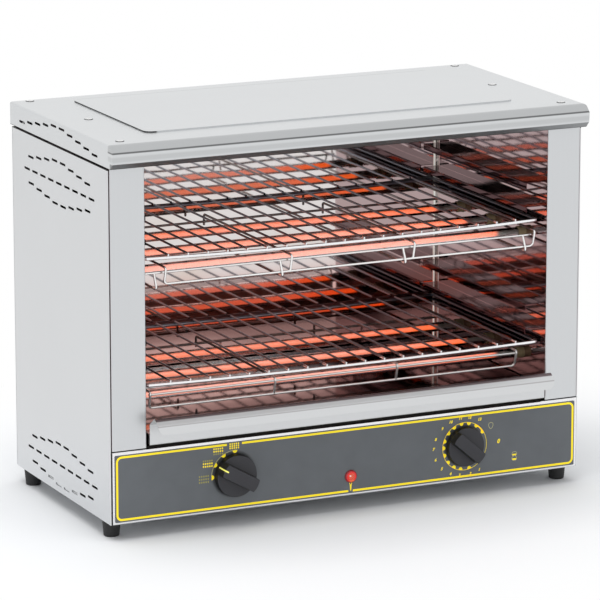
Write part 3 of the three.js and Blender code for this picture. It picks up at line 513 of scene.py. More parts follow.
def knob_plastic(name, knob):
    """Black plastic with painted shade: darker on the disc's rim, on the bar's sides, and in a dark
    line beside the bar, where shade falls.

    The distance to the bar's middle line is |z * cos(turn) - x * sin(turn)|, and reach is the
    distance from the film. The bar is BAR_SHARE of the knob's radius to each side.
    """
    turn = math.radians(knob["degrees"])
    half = knob["radius"] * BAR_SHARE
    disc, bar = knob["disc"], knob["bar"]

    def shading(shader):
        across, depth, height = shader.spot()
        x, z = across - knob["place"][0], height - knob["place"][1]
        reach = depth * -1 - 1.5
        below_face = 1 - reach.step(bar - 1.1, bar - 0.3)
        rim = 1 - reach.step(disc - 0.9, disc - 0.3)
        sides = reach.step(disc + 0.2, disc + 0.8) * below_face
        aside = (z * math.cos(turn) - x * math.sin(turn)).size()
        # Painted shade: a dark line beside the bar, where it meets the disc.
        bar_foot_shade = aside.between(half - 0.8, half - 0.4, half + 0.8, half + 1.3) * below_face
        return what_is_left((rim + sides, 0.75), (bar_foot_shade, 0.8))

    return moulded(name, srgb(43, 43, 48), 0.5, shading=shading)


def film_shading(shader):
    """A painted shadow: the film is darker close to a knob, on the side that looks away from the
    room's light.
    """
    across, _, height = shader.spot()
    shades = []
    for knob in (SELECTOR, TIMER):
        x, z = across - (knob["place"][0] - 1.6), height - (knob["place"][1] + 1.6)
        distance = (x * x + z * z).root()
        shades.append((1 - distance.step(knob["radius"] - 0.5, knob["radius"] + 3.5), 0.75))
    return what_is_left(*shades)


selector_black = knob_plastic("selector_black", SELECTOR)
timer_black = knob_plastic("timer_black", TIMER)
overlay_grey = moulded("overlay_grey", srgb(94, 98, 102), 0.5, 2400.0, 0.00002, 1.25, film_shading)
print("knobs' plastic and film made")

# %% [markdown]
# ## Wire
#
# Racks and guards are drawn wire, plated bright. Behind the front the wire is dark and a little
# blue: partly a heat tint over the tubes, and partly a painted dark reflection of the dark chamber,
# while the front stays bright. Two materials would meet in a hard line, so a step along the depth
# tells the two apart, and two noises, coarse and fine, make it uneven.


# %% Plated wire
def plated_wire(name, bright, painted_dark, front_edge, roughness=0.12):
    """Wire that is bright in front of the depth front_edge, in millimetres, and dark behind it:
    there it has a heat tint and a painted dark reflection.
    """
    shader = Shader(name, Metallic=1.0)
    heat = shader.noise(shader.place(), 16.0, 3.0, 0.6)
    drawn = shader.noise(shader.place(), 420.0, 2.0)
    back = (shader.spot()[1] + heat * 4).step(front_edge, front_edge + 6)
    # The colour behind the front is partly heat tint and partly a painted dark reflection.
    behind = shader.blend(heat.step(0.45, 0.7), painted_dark, tinted(painted_dark, 1.25, 1.05, 0.98))
    shader.set("Base Color", shader.blend(back, bright, behind))
    shader.set("Roughness", roughness + back * 0.14 + drawn * 0.05)
    shader.bump(drawn, 0.00005, 0.4)
    return shader.material


rack_wire = plated_wire("rack_wire", (0.9, 0.9, 0.91), (0.22, 0.24, 0.28), 20)
guard_wire = plated_wire("guard_wire", (0.9, 0.89, 0.88), (0.2, 0.18, 0.175), 20)
low_guard_wire = plated_wire("low_guard_wire", (0.98, 0.97, 0.96), (0.2, 0.18, 0.175), 44, 0.42)
print("wire finishes made")

# %% [markdown]
# ## Glowing quartz
#
# A heating spiral glows inside a tube of quartz. A single glowing rod would look like plastic.
# Here the tube is clear, so its upper edge catches a white line and a dark one, and a sleeve in
# it fills the middle with colour. The sleeve is milky and also lit from outside. The front tubes
# look salmon and the rear ones orange partly for that, and partly by painted light: each row is
# given its own glow colour, and the right ends glow more orange as a painted shade.


# %% Glowing spiral and clear quartz
def glowing_spiral(name, hot, start=-237, end=237):
    """A sleeve that glows between start and end, with the spiral's turns showing through.

    It glows in the colour hot, and more orange towards its right end: a painted shade, where
    less light from outside reaches it. The turns are a sine wave along the tube, one every 3.4 mm.
    """
    shader = Shader(name, Roughness=0.5)
    across = shader.spot()[0]
    turns = (across * (2 * math.pi / 3.4)).wave() * 0.5 + 0.5
    uneven = shader.noise(shader.place((14.0, 1.0, 1.0)), 3.0, 2.0)
    lit = across.between(start, start + 10, end - 10, end)
    glow = shader.blend(turns * 0.45 + uneven * 0.35, hot, tinted(hot, 0.95, 0.72, 0.6))
    glow = shader.blend(across.step(80, 225), glow, (1.0, 0.13, 0.012))
    shader.set("Base Color", shader.blend(lit, (0.3, 0.27, 0.25), (0.86, 0.66, 0.6)))
    shader.set("Emission Color", shader.blend(lit, BLACK, glow))
    shader.set("Emission Strength", 0.85)
    return shader.material


def clear_quartz(name):
    """Thin clear tube with faint drawing lines along it."""
    shader = Shader(name, Transmission_Weight=1.0, IOR=1.46)
    lines = shader.noise(shader.place((6.0, 700.0, 700.0)), 1.0, 2.0)
    shader.set("Base Color", shader.blend(lines, (0.97, 0.97, 0.96), (0.9, 0.9, 0.89)))
    shader.set("Roughness", 0.02 + lines * 0.05)
    return shader.material


# The rows' glow colours are painted light as well: salmon in front, where more light from outside
# reaches the tubes, and orange behind.
SPIRALS = {
    "front": glowing_spiral("front_glow", (0.88, 0.33, 0.25), -262),
    "centre": glowing_spiral("centre_glow", (0.88, 0.25, 0.14)),
    "rear": glowing_spiral("rear_glow", (0.86, 0.2, 0.09)),
}
quartz_clear = clear_quartz("quartz_clear")
print("quartz made")

# %% [markdown]
# ## Surfaces from arrays
#
# Nearly every new piece is a grid of points: rows along one direction and columns along the
# other. The pieces could be built from Blender's curves and modifiers, but a grid shows its
# formula and gives the same mesh each time. The next cells turn a grid into a mesh, sweep a
# circle along a path, and turn a profile about an axis.


# %% From a grid to a mesh
def full_turn(count):
    """This many angles, evenly spaced all the way round."""
    return np.linspace(0, 2 * math.pi, count, endpoint=False)


def grid_faces(rows, columns, closed_rows=False, closed_columns=False):
    """The four corners of every cell of a grid, as an (n, 4) array of point numbers."""
    down = np.arange(rows if closed_rows else rows - 1)
    across = np.arange(columns if closed_columns else columns - 1)
    row, column = (part.ravel() for part in np.meshgrid(down, across, indexing="ij"))
    below, beside = (row + 1) % rows, (column + 1) % columns
    corners = [row * columns + column, row * columns + beside]
    corners += [below * columns + beside, below * columns + column]
    return np.stack(corners, 1)


def tube_faces(rows, sides, closed=False):
    """The faces of a tube of rings, and of its two ends unless its rings close a circle."""
    faces = grid_faces(rows, sides, closed, True).tolist()
    if closed:
        return faces
    last = (rows - 1) * sides
    return faces + [list(range(sides))[::-1], [last + k for k in range(sides)]]


def make_piece(name, parts, material, body, replaces=(), smooth=40):
    """One object from several (points in mm, list of faces) parts, riding on a body."""
    points, faces, start = [], [], 0
    for part_points, part_faces in parts:
        points.append(np.asarray(part_points, float))
        faces += [[int(corner) + start for corner in face] for face in part_faces]
        start += len(part_points)
    mesh = bpy.data.meshes.new(name)
    mesh.from_pydata(placed(np.concatenate(points)).tolist(), [], faces)
    mesh.update()
    mesh.materials.append(material)
    mesh.shade_smooth()
    mesh.set_sharp_from_angle(angle=math.radians(smooth))
    piece = add_to_scene(name, mesh)
    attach(piece, body)
    if replaces:
        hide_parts(*replaces)
    print(name, len(mesh.polygons), "faces")


# %% Rounded paths
def bent(corners, steps=8):
    """A line through corners (x, y, z, bend): each bend becomes an arc that touches both legs.

    The arc's centre lies on the corner's bisector at bend / sin(half angle), and its points are
    found by turning evenly from the first contact point to the second (spherical interpolation).
    """
    corners = [np.array(corner, float) for corner in corners]
    line = []
    for i, corner in enumerate(corners):
        here, bend = corner[:3], corner[3] if len(corner) > 3 else 0
        if not bend:
            line.append(here[None])
            continue
        back = corners[i - 1][:3] - here
        ahead = corners[(i + 1) % len(corners)][:3] - here
        back, ahead = back / np.linalg.norm(back), ahead / np.linalg.norm(ahead)
        half = math.acos(np.clip(back @ ahead, -1, 1)) / 2
        middle = (back + ahead) / np.linalg.norm(back + ahead)
        centre = here + middle * bend / math.sin(half)
        first = here + back * bend / math.tan(half) - centre
        last = here + ahead * bend / math.tan(half) - centre
        turn = math.acos(np.clip(first @ last / bend**2, -1, 1))
        share = np.linspace(0, 1, steps + 1)[:, None]
        arc = np.sin((1 - share) * turn) * first + np.sin(share * turn) * last
        line.append(centre + arc / math.sin(turn))
    return np.concatenate(line)


def rounded_profile(corners, steps=5):
    """A profile of (radius, distance, bend) corners with its bends rounded."""
    return bent([(radius, along, 0, bend) for radius, along, bend in corners], steps)[:, :2]


# %% A wire along a path
CAP_LIFT = np.array([0.0, 0.35, 0.7, 0.92])
CAP_RADII = np.sqrt(1 - (1 - CAP_LIFT) ** 2)
CAP_RADII[0] = 0.02


def wire(path, radius, sides=16, closed=False):
    """A round wire: at each point of the path a circle of the radius, square to the path.

    The circle's first direction is carried along the path without twist: at every step it loses
    only its part along the new direction. Open ends are closed by half spheres.
    """
    path = np.asarray(path, float)
    if closed:
        ahead = np.roll(path, -1, 0) - np.roll(path, 1, 0)
    else:
        ahead = np.gradient(path, axis=0)
        ahead[0], ahead[-1] = path[1] - path[0], path[-1] - path[-2]
    ahead /= np.linalg.norm(ahead, axis=1)[:, None]
    side = np.zeros_like(path)
    now = np.cross(ahead[0], (0.31, 0.17, 0.93))
    for i, direction in enumerate(ahead):
        now = now - (now @ direction) * direction
        now = now / np.linalg.norm(now)
        side[i] = now
    radii = np.full(len(path), float(radius))
    if not closed:
        start = path[0] - ahead[0] * radius * (1 - CAP_LIFT)[:, None]
        end = path[-1] + ahead[-1] * radius * (1 - CAP_LIFT)[::-1, None]
        path = np.concatenate([start, path, end])
        repeats = [5, *[1] * (len(ahead) - 2), 5]
        ahead, side = np.repeat(ahead, repeats, 0), np.repeat(side, repeats, 0)
        radii = np.concatenate([radius * CAP_RADII, radii, radius * CAP_RADII[::-1]])
    other = np.cross(ahead, side)
    angle = full_turn(sides)[None, :, None]
    ring = np.cos(angle) * side[:, None] + np.sin(angle) * other[:, None]
    points = path[:, None] + radii[:, None, None] * ring
    return points.reshape(-1, 3), tube_faces(len(path), sides, closed)


# %% A turned profile
def turned(profile, centre, axis, sides=48):
    """A profile of (radius, distance) points turned about an axis: the point at angle a is
    centre + distance * axis + radius * (cos a * first + sin a * second)."""
    axis = np.array(axis, float)
    first = np.cross(axis, (0.0, 0.0, 1.0) if abs(axis[2]) < 0.9 else (1.0, 0.0, 0.0))
    first /= np.linalg.norm(first)
    second = np.cross(axis, first)
    radius, distance = np.array(profile, float).T
    angle = full_turn(sides)
    around = np.cos(angle)[:, None] * first + np.sin(angle)[:, None] * second
    points = np.array(centre) + distance[:, None, None] * axis + radius[:, None, None] * around
    return points.reshape(-1, 3), tube_faces(len(radius), sides)


print("surface tools ready")

# %% [markdown]
# ## The bread racks
#
# A rack is a bent frame of 4.5 mm wire. Nineteen thinner wires are welded on top of it, and their
# rounded ends look over the front wire like a row of beads. An array modifier could repeat the
# bars, but a used rack sags in its middle, so each bar is worked out at its own height. The frame
# is one closed path with four rounded corners, and each bar is a wire with half spheres for ends.

# %% Racks
RACK_BARS = 19
RACK_PITCH = 26.15
RACK_OVERHANG = 1.4
RACK_CORNER = 4.0
FRAME_RADIUS = 2.25
BAR_RADIUS = 1.4
WELD = 0.35
SAG = {"upper_rack": 4.3, "lower_rack": 3.0}
SAG_HALF = 265.0


def sagged(points, sag):
    """Points lowered like a loaded wire: by sag in the middle, by nothing at SAG_HALF."""
    lowered = np.array(points, float)
    lowered[:, 2] -= sag * np.clip(1 - (lowered[:, 0] / SAG_HALF) ** 2, 0, 1)
    return lowered


def refined(path, longest=22.0):
    """The closed path with its long legs cut into shorter ones."""
    pieces = []
    for start, end in zip(path, np.roll(path, -1, 0)):
        count = max(1, math.ceil(np.linalg.norm(end - start) / longest))
        pieces.append(start + (end - start) * (np.arange(count) / count)[:, None])
    return np.concatenate(pieces)


def bread_rack(name):
    low, high = node_box_mm(name)
    half = high[0] - FRAME_RADIUS
    front, back = low[1] + RACK_OVERHANG, high[1] - RACK_OVERHANG
    centre = low[2] + FRAME_RADIUS
    corners = ((-half, front), (half, front), (half, back), (-half, back))
    frame_path = bent([(x, y, centre, RACK_CORNER) for x, y in corners], 8)
    parts = [wire(sagged(refined(frame_path), SAG[name]), FRAME_RADIUS, 16, True)]
    height = centre + FRAME_RADIUS + BAR_RADIUS - WELD
    for x in (np.arange(RACK_BARS) - (RACK_BARS - 1) / 2) * RACK_PITCH:
        ends = (x, low[1] + BAR_RADIUS, height), (x, high[1] - BAR_RADIUS, height)
        parts.append(wire(sagged(np.linspace(*ends, 6), SAG[name]), BAR_RADIUS, 12))
    make_piece(name + "_wires", parts, rack_wire, name, [name])


for rack in SAG:
    bread_rack(rack)

# %% [markdown]
# ## The tube guards
#
# A guard keeps bread off the tubes. Its bars run forward over or under the tubes and bend round
# the front one to a cross wire. On the guards that hang down, the outer two bars and the cross
# wire are one piece of wire, and the middle bars end on a cross wire near the back wall. A curve
# with a round bevel would do for one wire, but here each is a list of corners, so that two
# functions make all four guards.

# %% Guards
GUARD_BARS = 4
GUARD_RADIUS = 1.5
GUARD_BEND = 3
GUARD_REAR = 275.0
BRACE_DROP = 3.7


def hanging_guard(name, material, brace=0.0):
    """A guard in one loop of wire, with two middle bars from a rear cross wire to the front one.

    A brace is one more cross wire, this far under the bars.
    """
    low, high = node_box_mm(name)
    first, last = low[0] + GUARD_RADIUS, high[0] - GUARD_RADIUS
    height, end = high[2] - GUARD_RADIUS, low[2] + GUARD_RADIUS
    front, tail = low[1] + GUARD_RADIUS, high[1] - 0.3
    nose = front + 6
    route = [(first, tail, height), (first, front, height, GUARD_BEND), (first, nose, end, 5)]
    route += [(last, nose, end, 5), (last, front, height, GUARD_BEND), (last, tail, height)]
    parts = [wire(bent(route, 8), GUARD_RADIUS, 12)]
    for x in np.linspace(first, last, GUARD_BARS)[1:-1]:
        route = [(x, GUARD_REAR, height - 13), (x, GUARD_REAR, height, GUARD_BEND)]
        route += [(x, front, height, GUARD_BEND), (x, nose, end)]
        parts.append(wire(bent(route, 6), GUARD_RADIUS, 12))
    reach = SAG_HALF - 6
    rod = [(side * reach, GUARD_REAR - 2.6, height - 9) for side in (-1, 1)]
    parts.append(wire(rod, GUARD_RADIUS, 12))
    if brace:
        behind = front + 6 * brace / (height - end) + 2 * GUARD_RADIUS - WELD
        rod = [(x, behind, height - brace) for x in (first, last)]
        parts.append(wire(rod, GUARD_RADIUS, 12))
    make_piece(name + "_wires", parts, material, "housing", [name])


def standing_guard(name):
    """A guard whose four bars rise at the front to a straight cross wire."""
    low, high = node_box_mm(name)
    height, end = low[2] + GUARD_RADIUS, high[2] - GUARD_RADIUS
    front, tail = low[1] + GUARD_RADIUS, high[1] - 0.3
    nose = front + 9
    cross = [(low[0] + GUARD_RADIUS, nose, end), (high[0] - GUARD_RADIUS, nose, end)]
    parts = [wire(cross, GUARD_RADIUS, 12)]
    for x in np.linspace(low[0] + 12.5, high[0] - 12.5, GUARD_BARS):
        route = [(x, tail, height), (x, front, height, GUARD_BEND), (x, nose, end)]
        parts.append(wire(bent(route, 6), GUARD_RADIUS, 12))
    make_piece(name + "_wires", parts, guard_wire, "housing", [name])


hanging_guard("middle_upper_guard", guard_wire)
standing_guard("middle_lower_guard")
hanging_guard("lower_guard", low_guard_wire, BRACE_DROP)
standing_guard("upper_guard")

# %% [markdown]
# ## Quartz tubes and their ceramic ends
#
# Each tube is a thin pipe that ends inside a steatite cap. The cap has a rounded mouth, a groove,
# and a collar outside the wall, with a terminal pin. All of them are round, so a profile that is
# turned about the tube's middle line gives each shape with the fewest numbers.

# %% Tubes and ends
LEVELS = ("lower", "middle", "upper")
ROWS = ("front", "centre", "rear")
SLEEVE = 5.2
GLASS_WALL = 0.6
CERAMIC_PROFILE = rounded_profile(
    [
        (6.05, 9.8, 0), (6.05, 0.2, 0.15), (7.2, 0.0, 0.8), (7.2, 5.4, 0.4), (6.8, 6.0, 0.3),
        (7.2, 6.6, 0.4), (7.2, 11.1, 0), (9.6, 11.1, 0.4), (9.6, 15.1, 0.6), (2.0, 15.1, 0),
        (2.0, 24.0, 0.5), (0.3, 24.0, 0),
    ]
)


def quartz_tube(level, row):
    """A clear pipe: outside, end, inside and end again. The sleeve of the spiral lies in it."""
    name = f"{level}_{row}_tube"
    low, high = node_box_mm(name)
    centre = (low + high) / 2
    outer, half = (high[2] - low[2]) / 2, high[0]
    inner = outer - GLASS_WALL
    profile = [(inner, half), (outer, half), (outer, 0), (outer, -half), (inner, -half), (inner, 0)]
    points, _ = turned(profile, centre, (1, 0, 0), 32)
    pipe = points, tube_faces(len(profile), 32, True)
    make_piece(name + "_glass", [pipe], quartz_clear, "housing", [name])
    end = half - 1
    profile = [(0.3, end), (SLEEVE, end), (SLEEVE, 0), (SLEEVE, -end), (0.3, -end)]
    sleeve = turned(profile, centre, (1, 0, 0), 24)
    make_piece(name + "_spiral", [sleeve], SPIRALS[row], "housing")


def ceramic_end(name, side):
    low, high = node_box_mm(name)
    centre = (low + high) / 2
    centre[0] = low[0] if side > 0 else high[0]
    cap = turned(CERAMIC_PROFILE, centre, (side, 0, 0), 32)
    make_piece(name + "_cap", [cap], ceramic_tan, "housing", [name])


for level in LEVELS:
    for row in ROWS:
        quartz_tube(level, row)
        ceramic_end(f"{level}_{row}_left_ceramic", -1)
        ceramic_end(f"{level}_{row}_right_ceramic", 1)

# %% [markdown]
# ## The knobs
#
# A knob is a shallow disc with a grip bar right across it. The bar could be a bevelled box, but
# its ends follow the knob's cone. So it is a stack of outlines: at each depth the long sides are
# straight and the ends are arcs. Near the face every outline shrinks by a quarter circle, which
# rounds the edge. The selector also has a painted line on its bar.


# %% Knobs
def bar_outline(half_width, radius, points=64):
    """The outline of a bar across a circle: two arcs of the radius, cut off at the half width, and
    two straight sides. Its evenly spaced points are averaged a little to round the corners."""
    reach = math.asin(half_width / radius)
    arc = np.linspace(-reach, reach, points)
    right = np.stack([radius * np.cos(arc), radius * np.sin(arc)], 1)
    top = np.linspace(right[-1], (-right[-1][0], right[-1][1]), points)[1:-1]
    outline = np.concatenate([right, top, -right, -top])
    weights = (1, 2, 3, 2, 1)
    shifts = [np.roll(outline, k - 2, 0) * weight for k, weight in enumerate(weights)]
    return sum(shifts) / sum(weights)


def make_knob(name, body, knob, material):
    low, high = node_box_mm(name)
    radius = (high[0] - low[0]) / 2
    centre = np.array([knob["place"][0], high[1], knob["place"][1]])
    corners = [(0.3, 0.0, 0), (radius, 0.0, 0.3), (radius * 0.97, knob["disc"], 1.1)]
    disc = rounded_profile([*corners, (0.3, knob["disc"], 0)], 6)
    quarter = np.linspace(0.2, 1.57, 6)
    face = knob["bar"] - 1.0
    reaches = np.concatenate([np.linspace(0, face, 6), face + np.sin(quarter)])
    insets = np.concatenate([np.zeros(6), 1.0 - np.cos(quarter)])
    rings = []
    for reach, inset in zip(reaches, insets):
        end = radius - reach / knob["bar"] * radius * 0.07 - inset
        flat = bar_outline(radius * BAR_SHARE - inset, end - 0.15)
        rings.append(np.column_stack([flat[:, 0], np.full(len(flat), -reach), flat[:, 1]]))
    turn = math.radians(knob["degrees"])
    x, y, z = np.concatenate(rings).T
    across = x * math.cos(turn) - z * math.sin(turn)
    upward = x * math.sin(turn) + z * math.cos(turn)
    bar = np.column_stack([across, y, upward]) + centre, tube_faces(len(rings), len(rings[0]))
    parts = [turned(disc, centre, (0, -1, 0), 96), bar]
    make_piece(name + "_grip", parts, material, body, [name], 30)


make_knob("selector_knob", "selector", SELECTOR, selector_black)
make_knob("timer_knob", "timer", TIMER, timer_black)

# %% The selector's line
POINTER_LINE = [(19.8, 19.5), (22, 19.5), (23.9, 19.5), (24.7, 19.2), (25.1, 18.5), (26.5, 4.0)]
POINTER_WIDTH = 1.8
PAINT = 0.07
SUNK = -0.12


def pointer(name, body, knob, back, line):
    """A painted line that lies on the bar: it runs along (radius, reach) points, front face first,
    and turns down over the bar's end. Its section has corners PAINT over the bar and SUNK in it."""
    line = np.array(line, float)
    along = np.gradient(line, axis=0)
    along /= np.linalg.norm(along, axis=1)[:, None]
    outward = np.column_stack([-along[:, 1], along[:, 0]])
    turn = math.radians(knob["degrees"])
    radial = np.array([math.cos(turn), 0, math.sin(turn)])
    side = np.array([-math.sin(turn), 0, math.cos(turn)]) * POINTER_WIDTH / 2
    forward = np.array([0.0, -1.0, 0.0])
    centre = np.array([knob["place"][0], back, knob["place"][1]])
    rings = []
    for lift, edge in ((PAINT, 1), (PAINT, -1), (SUNK, -1), (SUNK, 1)):
        flat = line + outward * lift
        rings.append(centre + flat[:, :1] * radial + flat[:, 1:] * forward + edge * side)
    stripe = np.stack(rings, 1).reshape(-1, 3), tube_faces(len(line), 4)
    make_piece(name, [stripe], pointer_pale, body)


selector_back = node_box_mm("selector_knob")[1][1]
pointer("selector_pointer", "selector", SELECTOR, selector_back, POINTER_LINE)

# %% [markdown]
# ## The feet
#
# Moulded rubber, wider at the top, with a small rounded edge where they meet the bench. They are
# round as well, so a turned profile serves again.

# %% Feet
FOOT_PROFILE = rounded_profile(
    [
        (0.3, 0.6, 0), (6.5, 0.6, 0), (7.1, 0.0, 0.3), (9.6, 0.0, 1.4), (11.5, 21.0, 1.0),
        (3.0, 21.0, 0), (3.0, 28.0, 0.5), (0.3, 28.0, 0),
    ]
)
for corner in ("front_left", "front_right", "rear_left", "rear_right"):
    name = corner + "_foot"
    middle = node_box_mm(name).mean(0) * (1, 1, 0)
    foot = turned(FOOT_PROFILE, middle, (0, 0, 1), 48)
    make_piece(name + "_rubber", [foot], foot_black, "housing", [name])

# %% [markdown]
# ## The print on the overlay
#
# The film carries a yellow border, two dials and a few signs, screen printed. A mask in the
# film's material could draw them, but the edges would blur. So each mark is a thin solid that
# lies on the film, 0.07 mm high. A band follows a path, a plate fills an outline, and the figures
# come from Blender's own font, made a mesh before they are put in place.

# %% Flat marks
PRINT_FRONT = -0.87
PRINT_BACK = -0.79


def on_film(flat, depth):
    """Points (X, z) at one depth."""
    return np.insert(np.asarray(flat, float), 1, depth, axis=1)


def plate(outline):
    """An outline of (X, z) points, anticlockwise from the front, filled and with a thin edge."""
    count = len(outline)
    points = np.concatenate([on_film(outline, PRINT_FRONT), on_film(outline, PRINT_BACK)])
    faces = [list(range(count)), list(range(count, 2 * count))[::-1]]
    return points, faces + grid_faces(2, count, False, True)[:, ::-1].tolist()


def band(path, width, closed=False):
    """A flat band along a path of (X, z) points: half the width to each side, square to it."""
    path = np.asarray(path, float)
    if closed:
        along = np.roll(path, -1, 0) - np.roll(path, 1, 0)
    else:
        along = np.gradient(path, axis=0)
    along /= np.linalg.norm(along, axis=1)[:, None]
    half = np.broadcast_to(np.asarray(width, float) / 2, len(path))[:, None]
    across = np.column_stack([-along[:, 1], along[:, 0]]) * half
    left, right = path + across, path - across
    ring = [on_film(left, PRINT_FRONT), on_film(right, PRINT_FRONT)]
    ring += [on_film(right, PRINT_BACK), on_film(left, PRINT_BACK)]
    return np.stack(ring, 1).reshape(-1, 3), tube_faces(len(path), 4, closed)


def polar(centre, radius, degrees):
    """The point (X, z) at a radius and an angle from a dial's centre; works on arrays as well."""
    turn = np.radians(degrees)
    return np.stack([centre[0] + radius * np.cos(turn), centre[1] + radius * np.sin(turn)], -1)


def half_disc(centre, radius, degrees, width, depth):
    """Half an ellipse whose flat side lies on the dial's ring and whose round side looks inward."""
    outward = polar((0, 0), 1, degrees)
    along = np.array([-outward[1], outward[0]])
    angle = np.linspace(0, math.pi, 13)[:, None]
    flat_side = np.cos(angle) * along * width / 2
    return plate(polar(centre, radius, degrees) + flat_side - np.sin(angle) * outward * depth)


def dot(x, z, width, height):
    angle = full_turn(10)
    return plate(np.stack([x + np.cos(angle) * width / 2, z + np.sin(angle) * height / 2], 1))


def mirrored(half, z):
    """The outline with these half widths at the heights z: up its right side, down its left."""
    return np.concatenate([np.stack([half, z], 1), np.stack([-half, z], 1)[::-1]])


def film_piece(name, parts, material):
    make_piece(name, parts, material, "housing")


# %% Border
BORDER_X = 311.4
BORDER_LOW = 27.1
BORDER_HIGH = 105.0
BORDER_WIDTH = 2.6
BORDER_BEND = 6.0


def half_border(side, top_end, bottom_end):
    """One side of the border, from its end in the top run round to its end in the bottom run."""
    corners = [(top_end, BORDER_HIGH, 0), (side * BORDER_X, BORDER_HIGH, 0, BORDER_BEND)]
    corners += [(side * BORDER_X, BORDER_LOW, 0, BORDER_BEND), (bottom_end, BORDER_LOW, 0)]
    return band(bent(corners, 8)[:, :2], BORDER_WIDTH)


film_piece("border", [half_border(-1, -166.7, -2.6), half_border(1, -146.5, 3.6)], print_yellow)

# %% Selector marks
SELECTOR_RING = 31.3
SELECTOR_STOPS = (90, 120, 150, 180)
ring = polar(SELECTOR["place"], SELECTOR_RING, np.linspace(88, 181, 40))
film_piece("selector_ring", [band(ring, 0.7)], print_pale)
marks = [half_disc(SELECTOR["place"], SELECTOR_RING, stop, 6.2, 3.6) for stop in SELECTOR_STOPS]
film_piece("selector_marks", marks, print_yellow)

# Each sign is three rows of tubes; a lit row is bright. (left, right, bottom, top, lit rows)
SIGNS = [
    (-163.7, -149.9, 98.6, 106.6, (0, 1, 2)),
    (-185.2, -171.2, 93.2, 103.0, (1, 2)),
    (-199.2, -185.2, 79.0, 89.4, (0, 1)),
    (-204.6, -190.2, 59.4, 70.6, ()),
]
bright, dull = [], []
for left, right, bottom, top, lit in SIGNS:
    for row in range(3):
        z = bottom + (row + 0.5) * (top - bottom) / 3
        group = bright if row in lit else dull
        group += [dot(left + (k + 0.5) * (right - left) / 5, z, 1.9, 2.4) for k in range(5)]
film_piece("lit_signs", bright, print_yellow)
film_piece("unlit_signs", dull, print_dim)

# %% Timer marks
TIMER_RING = 30.7
NUMBER_ANGLES = (-57, -77, -100.6, -120, -141, -162, 179, 162, 140, 120, 99, 79, 57)
OFF_ANGLE = 33
ring = polar(TIMER["place"], TIMER_RING, np.arange(0, 360, 4))
film_piece("timer_ring", [band(ring, 0.5, True)], print_yellow)
stops = (*NUMBER_ANGLES[1:], OFF_ANGLE)
marks = [half_disc(TIMER["place"], TIMER_RING, stop, 5.6, 3.7) for stop in stops]
marks.append(band(polar(TIMER["place"], TIMER_RING - 0.5, np.linspace(57, 32, 12)), 1.6))
film_piece("timer_marks", marks, print_yellow)


# %% Timer numbers
def figures(text, centre, height):
    """Figures from the font, extruded, made a mesh, and then scaled and moved to the film."""
    curve = bpy.data.curves.new("figures", "FONT")
    curve.body = text
    curve.shear = 0.3
    curve.offset = 0.04
    curve.extrude = 0.5
    curve.resolution_u = 3
    holder = add_to_scene("figures", curve)
    shown = holder.evaluated_get(bpy.context.evaluated_depsgraph_get())
    mesh = bpy.data.meshes.new_from_object(shown)
    bpy.data.objects.remove(holder)
    flat = np.empty(len(mesh.vertices) * 3)
    mesh.vertices.foreach_get("co", flat)
    flat = flat.reshape(-1, 3)
    low, high = flat.min(0), flat.max(0)
    centred = (flat - (low + high) / 2) * height / (high[1] - low[1])
    depth = np.where(flat[:, 2] > 0, PRINT_FRONT, PRINT_BACK)
    points = np.stack([centred[:, 0] + centre[0], depth, centred[:, 1] + centre[1]], 1)
    return points, [list(face.vertices) for face in mesh.polygons]


numbers = [figures("0", polar(TIMER["place"], 48, 1.5), 5.6)]
for number, angle in enumerate(NUMBER_ANGLES, 1):
    radius = 37 + 6 * math.cos(math.radians(angle)) ** 2
    numbers.append(figures(str(number), polar(TIMER["place"], radius, angle), 3.9))
film_piece("timer_numbers", numbers, print_yellow)

# %% Signs beside the timer and under the lamp
angle = full_turn(36)
drop = np.stack([np.sin(angle) * (3.0 + np.cos(angle)), 4.0 * np.cos(angle)], 1)
drop += polar(TIMER["place"], 43, 31.6)
film_piece("drop_sign", [band(drop, 0.7, True)], print_pale)

GLASS_MIDDLE = np.array([228.9, 45.1])


def glass_width(z):
    """Half the hourglass's width at a height z from its waist: two bulbs, 5.8 mm tall."""
    return 0.55 + 2.9 * np.sqrt(np.abs(np.sin(np.pi * np.clip(np.abs(z) / 5.8, 0, 1))))


def sand(low, high):
    z = np.linspace(low, high, 8)
    return plate(mirrored(glass_width(z) - 0.5, z) + GLASS_MIDDLE)


z = np.linspace(-5.5, 5.5, 45)
glass = band(mirrored(glass_width(z), z) + GLASS_MIDDLE, 0.6, True)
film_piece("hourglass_outline", [glass], print_pale)
film_piece("hourglass_sand", [sand(0.9, 2.8), sand(-5.2, -3.0)], print_yellow)

STEM_X = 0.6
eye = np.stack([STEM_X - np.sin(angle) * 1.4, 36.8 + np.cos(angle) * 2.2], 1)[::-1]
stem = np.linspace((STEM_X, 34.8), (STEM_X, 27.4), 6)
parts = [band(eye, 0.8, True), band(stem, np.linspace(2.4, 1.4, 6))]
film_piece("lamp_stem", parts, print_yellow)

# %% [markdown]
# ## The pilot lamp
#
# The lens is moulded in red polycarbonate: a flat rim, a round shoulder and a middle with rings
# that spread the light. Real clear plastic would need a lamp behind it and many samples. The neon
# lamp is lit, so here colour by radius does it: the middle is orange, and the rim is dark.


# %% Pilot lens
LENS_CENTRE = (0.5, 45.7)


